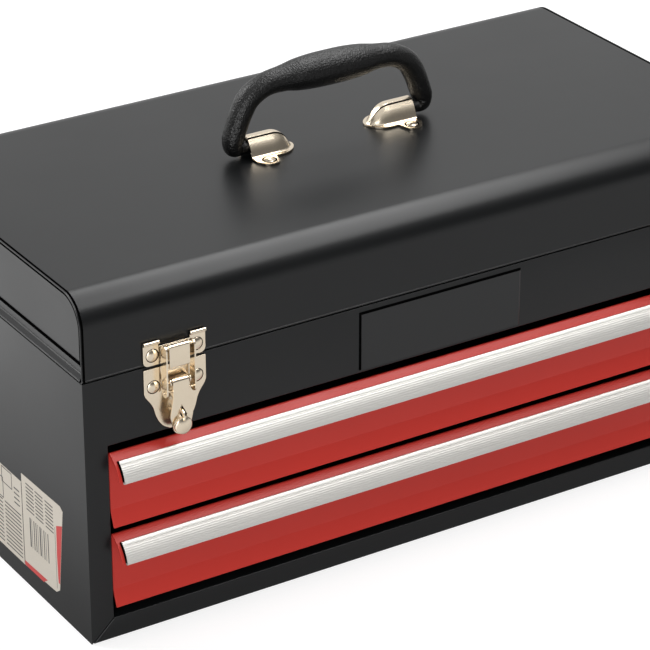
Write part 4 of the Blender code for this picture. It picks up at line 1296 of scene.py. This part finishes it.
def box(y0, y1, z0, z1):
    """The outline of an upright box."""
    return [(y0, z0), (y1, z0), (y1, z1), (y0, z1)]


def box_rules(y0, y1, z0, z1, width):
    """The four rules of a ruled box."""
    return [
        box(y0, y1, z0, z0 + width),
        box(y0, y1, z1 - width, z1),
        box(y0, y0 + width, z0 + width, z1 - width),
        box(y1 - width, y1, z0 + width, z1 - width),
    ]


def rule_column(y0, y1, z, pitch, height, count):
    """Short rules one over the other, from z upwards, or downwards for a negative pitch."""
    return [box(y0, y1, z + i * pitch, z + i * pitch + height) for i in range(count)]


def label_layer(name, finish, outlines, lift):
    """The shapes of one finish, which stand that far off the case's side."""
    foot = case_low.x - 0.00002
    face = case_low.x - lift
    mesh = bmesh.new()
    for outline in outlines:
        add_prism(mesh, [(face, y, z) for y, z in outline], [(foot, y, z) for y, z in outline])
    bmesh.ops.recalc_face_normals(mesh, faces=mesh.faces)
    settle(new_piece(name, mesh, finish), "case", finish)


def make_side_label():
    """A plain label on the left side: panels, red bands, ruled boxes and rows of rules, no words."""
    thin, frame_width = 0.0009, 0.0007
    paper_lift, ink_lift, band_lift = 0.00012, 0.00016, 0.00017
    label_layer("side_label_paper", "paper", [front_paper, rear_paper], paper_lift)
    label_layer("side_label_bands", "band", [edge_band, foot_band, head_band], band_lift)
    rules = [box(-0.0440, -0.0436, 0.0140, 0.0725), box(-0.0885, -0.0881, 0.0180, 0.0620)]
    # the front part: three columns of rules, and a row of upright bars below them
    for y in (-0.0500, -0.0625, -0.0760):
        rules += rule_column(y, y - 0.0105, 0.0755 - thin, -0.0026, thin, 8)
    for i, thick in enumerate((3, 1, 2, 2, 1, 3, 1, 2, 1, 2)):
        y = -0.0535 - i * 0.0027
        rules.append(box(y, y - 0.0005 * thick, 0.0310, 0.0520))
    # the rear part: three columns of rules, and two ruled boxes with a few rules beside them
    for y0, y1 in ((-0.0415, -0.0190), (-0.0160, 0.0060), (0.0100, 0.0550)):
        rules += rule_column(y0, y1, 0.0160, 0.0028, thin, 12)
    rules += box_rules(-0.0305, -0.0160, 0.0605, 0.0722, frame_width)
    rules += box_rules(-0.0178, -0.0040, 0.0486, 0.0640, frame_width)
    rules += rule_column(-0.0405, -0.0330, 0.0530, 0.0035, 0.0010, 4)
    label_layer("side_label_rules", "ink", rules, ink_lift)


# Stage

white = (1.0, 1.0, 1.0, 1.0)
# Each lamp's place, aim and size, and the stage's setting for its power
lamps = {
    "key_softbox": ((0.78, -0.10, 1.75), (0.78, -0.10, 0.0), (0.75, 2.6), "key_power"),
    "fill_softbox": ((-1.5, -1.9, 0.6), (0.0, 0.0, 0.1), (1.4, 1.4), "fill_power"),
    "back_softbox": ((-1.1, 1.3, 1.5), (-0.4, 0.4, 0.0), (1.2, 1.2), "back_power"),
}


def area_light(name, place, aim, size, watts):
    """A soft rectangular lamp that the camera doesn't see."""
    lamp = bpy.data.lights.new(name, "AREA")
    lamp.shape = "RECTANGLE"
    lamp.size, lamp.size_y = size
    lamp.energy = watts
    thing = bpy.data.objects.new(name, lamp)
    bpy.context.scene.collection.objects.link(thing)
    thing.location = place
    thing.rotation_euler = (Vector(aim) - Vector(place)).to_track_quat("-Z", "Y").to_euler()
    thing.visible_camera = False


def seen_plainly(tree):
    """1 for camera, glossy and transmission rays, which see the backdrop and the floor's lift."""
    rays = add(tree, "ShaderNodeLightPath").outputs
    some = calc(tree, "MAXIMUM", rays["Is Camera Ray"], rays["Is Glossy Ray"])
    return calc(tree, "MAXIMUM", some, rays["Is Transmission Ray"])


def for_camera(tree, others, camera):
    """One value for camera rays, and another for all others."""
    ray = add(tree, "ShaderNodeLightPath").outputs["Is Camera Ray"]
    # inputs 2 and 3 are the mix node's two numbers
    return add(tree, "ShaderNodeMix", {0: ray, 2: others, 3: camera}, data_type="FLOAT").outputs[0]


def room_tone(tree):
    """Strength of the backdrop: white to the camera, and dim to reflections low on the camera's side."""
    way = add(tree, "ShaderNodeTexCoord").outputs["Generated"]
    parts = add(tree, "ShaderNodeSeparateXYZ", {0: way}).outputs
    behind = vary(tree, parts[1], 0.0, 1.0, -0.20, 0.25)
    above = vary(tree, parts[2], 0.0, 1.0, 0.35, 0.75)
    lit = calc(tree, "MAXIMUM", behind, above)
    return for_camera(tree, vary(tree, lit, 0.16, 0.90, 0.0, 1.0), 1.0)


def floor_tone(tree):
    """Strength of the floor's lift: even to the camera. In reflections it is dim next to the box and in front
    of it, a painted shade, and full only farther out to the left.
    """
    place = add(tree, "ShaderNodeTexCoord").outputs["Object"]
    across = add(tree, "ShaderNodeSeparateXYZ", {0: place}).outputs[0]
    return for_camera(tree, vary(tree, across, 0.28, 0.92, -0.28, -0.43), 0.66)


def make_floor(tint):
    """A wide matt floor, with a glow that lifts it to the photo's pale ground."""
    mesh = bmesh.new()
    bmesh.ops.create_grid(mesh, x_segments=1, y_segments=1, size=12.0)
    data = bpy.data.meshes.new("studio_floor")
    mesh.to_mesh(data)
    mesh.free()
    floor = bpy.data.objects.new("studio_floor", data)
    bpy.context.scene.collection.objects.link(floor)
    paint = bpy.data.materials.new("pale_floor_paint")
    paint.use_nodes = True
    tree = paint.node_tree
    tree.nodes.clear()
    matt = add(tree, "ShaderNodeBsdfDiffuse", {"Color": (*tint, 1.0)})
    glow = add(tree, "ShaderNodeEmission", {"Color": white, "Strength": floor_tone(tree)})
    none = add(tree, "ShaderNodeEmission", {"Strength": 0.0})
    lift = add(tree, "ShaderNodeMixShader", {0: seen_plainly(tree), 1: none.outputs[0], 2: glow.outputs[0]})
    total = add(tree, "ShaderNodeAddShader", {0: matt.outputs[0], 1: lift.outputs[0]})
    add(tree, "ShaderNodeOutputMaterial", {"Surface": total.outputs[0]})
    data.materials.append(paint)


def make_surround(strength):
    """The even light from all round, and the backdrop that the camera and reflections see."""
    world = bpy.data.worlds.new("studio")
    bpy.context.scene.world = world
    world.use_nodes = True
    tree = world.node_tree
    tree.nodes.clear()
    soft = add(tree, "ShaderNodeBackground", {"Color": white, "Strength": strength})
    bright = add(tree, "ShaderNodeBackground", {"Color": white, "Strength": room_tone(tree)})
    shown = {0: seen_plainly(tree), 1: soft.outputs[0], 2: bright.outputs[0]}
    mixed = add(tree, "ShaderNodeMixShader", shown)
    add(tree, "ShaderNodeOutputWorld", {"Surface": mixed.outputs[0]})


def make_camera(stage):
    """The camera as it was fitted to the photo, with a small lens shift."""
    lens = bpy.data.cameras.new("camera")
    lens.sensor_width = 36.0
    lens.lens = stage.camera_lens
    lens.shift_x = 0.016
    lens.shift_y = -0.0032
    camera = bpy.data.objects.new("camera", lens)
    bpy.context.scene.collection.objects.link(camera)
    camera.location = stage.camera_place
    camera.rotation_euler = Euler(stage.camera_turn)
    bpy.context.scene.camera = camera


def make_stage():
    """The floor, the surround, the lamps and the camera."""
    scene = bpy.context.scene
    stage = scene.tool_box_stage
    make_floor(scene.tool_box_colours.floor)
    make_surround(stage.surround)
    for name, (place, aim, size, setting) in lamps.items():
        area_light(name, place, aim, size, getattr(stage, setting))
    make_camera(stage)
    scene.view_settings.view_transform = "Standard"


# Operators and panel


class TOOLBOX_OT_stage(bpy.types.Operator):
    """Adds the floor, the lights and the camera"""

    bl_idname = "toolbox.stage"
    bl_label = "Stage"

    def execute(self, context):
        make_stage()
        return {"FINISHED"}


class TOOLBOX_OT_painted_sheets(bpy.types.Operator):
    """Finishes the case's and the drawers' sheets"""

    bl_idname = "toolbox.painted_sheets"
    bl_label = "Painted Sheets"

    def execute(self, context):
        make_painted_sheets()
        return {"FINISHED"}


class TOOLBOX_OT_lid_shell(bpy.types.Operator):
    """Makes the bent sheet of the lid"""

    bl_idname = "toolbox.lid_shell"
    bl_label = "Lid Shell"

    def execute(self, context):
        make_lid_shell()
        return {"FINISHED"}


class TOOLBOX_OT_lid_ends(bpy.types.Operator):
    """Makes both end panels of the lid"""

    bl_idname = "toolbox.lid_ends"
    bl_label = "Lid Ends"

    def execute(self, context):
        make_lid_ends()
        return {"FINISHED"}


class TOOLBOX_OT_drawer_fronts(bpy.types.Operator):
    """Makes both folded drawer fronts"""

    bl_idname = "toolbox.drawer_fronts"
    bl_label = "Drawer Fronts"

    def execute(self, context):
        make_drawer_fronts()
        return {"FINISHED"}


class TOOLBOX_OT_drawer_trims(bpy.types.Operator):
    """Makes both fluted finger pulls"""

    bl_idname = "toolbox.drawer_trims"
    bl_label = "Drawer Trims"

    def execute(self, context):
        make_drawer_trims()
        return {"FINISHED"}


class TOOLBOX_OT_slides_and_hinge(bpy.types.Operator):
    """Finishes the drawer slides and the hinge"""

    bl_idname = "toolbox.slides_and_hinge"
    bl_label = "Slides and Hinge"

    def execute(self, context):
        make_slides_and_hinge()
        return {"FINISHED"}


class TOOLBOX_OT_carry_handle(bpy.types.Operator):
    """Makes the moulded handle"""

    bl_idname = "toolbox.carry_handle"
    bl_label = "Carry Handle"

    def execute(self, context):
        make_carry_handle()
        return {"FINISHED"}


class TOOLBOX_OT_handle_brackets(bpy.types.Operator):
    """Makes the pressed brackets"""

    bl_idname = "toolbox.handle_brackets"
    bl_label = "Handle Brackets"

    def execute(self, context):
        make_handle_brackets()
        return {"FINISHED"}


class TOOLBOX_OT_latches(bpy.types.Operator):
    """Finishes both draw latches"""

    bl_idname = "toolbox.latches"
    bl_label = "Latches"

    def execute(self, context):
        make_latches()
        return {"FINISHED"}


class TOOLBOX_OT_rivets(bpy.types.Operator):
    """Sets the rivets of the latches, brackets and hinge"""

    bl_idname = "toolbox.rivets"
    bl_label = "Rivets"

    def execute(self, context):
        make_rivets()
        return {"FINISHED"}


class TOOLBOX_OT_name_plate(bpy.types.Operator):
    """Adds the bare plate on the header"""

    bl_idname = "toolbox.name_plate"
    bl_label = "Name Plate"

    def execute(self, context):
        make_name_plate()
        return {"FINISHED"}


class TOOLBOX_OT_side_label(bpy.types.Operator):
    """Adds the plain label on the left side"""

    bl_idname = "toolbox.side_label"
    bl_label = "Side Label"

    def execute(self, context):
        make_side_label()
        return {"FINISHED"}


operators = (
    TOOLBOX_OT_stage,
    TOOLBOX_OT_painted_sheets,
    TOOLBOX_OT_lid_shell,
    TOOLBOX_OT_lid_ends,
    TOOLBOX_OT_drawer_fronts,
    TOOLBOX_OT_drawer_trims,
    TOOLBOX_OT_slides_and_hinge,
    TOOLBOX_OT_carry_handle,
    TOOLBOX_OT_handle_brackets,
    TOOLBOX_OT_latches,
    TOOLBOX_OT_rivets,
    TOOLBOX_OT_name_plate,
    TOOLBOX_OT_side_label,
)


class TOOLBOX_PT_panel(bpy.types.Panel):
    """Lists the operators, then the sizes, the colours and the stage's settings."""

    bl_label = "Metal Tool Box"
    bl_idname = "TOOLBOX_PT_panel"
    bl_space_type = "VIEW_3D"
    bl_region_type = "UI"
    bl_category = "Tool Box"

    def draw(self, context):
        for made in operators:
            self.layout.operator(made.bl_idname)
        scene = context.scene
        for group in (scene.tool_box_sizes, scene.tool_box_colours, scene.tool_box_stage):
            for key in group.bl_rna.properties.keys():
                if key not in ("rna_type", "name"):
                    self.layout.prop(group, key)


classes = (ToolBoxSizes, ToolBoxColours, ToolBoxStage, *operators, TOOLBOX_PT_panel)


def register():
    """Registers every class and puts the three groups of settings on the scene."""
    for made in classes:
        bpy.utils.register_class(made)
    bpy.types.Scene.tool_box_sizes = bpy.props.PointerProperty(type=ToolBoxSizes)
    bpy.types.Scene.tool_box_colours = bpy.props.PointerProperty(type=ToolBoxColours)
    bpy.types.Scene.tool_box_stage = bpy.props.PointerProperty(type=ToolBoxStage)


def unregister():
    """Takes back what register did."""
    del bpy.types.Scene.tool_box_sizes
    del bpy.types.Scene.tool_box_colours
    del bpy.types.Scene.tool_box_stage
    for made in reversed(classes):
        bpy.utils.unregister_class(made)


def main():
    register()
    for made in operators:
        group, name = made.bl_idname.split(".")
        getattr(getattr(bpy.ops, group), name)()


if __name__ == "__main__":
    main()
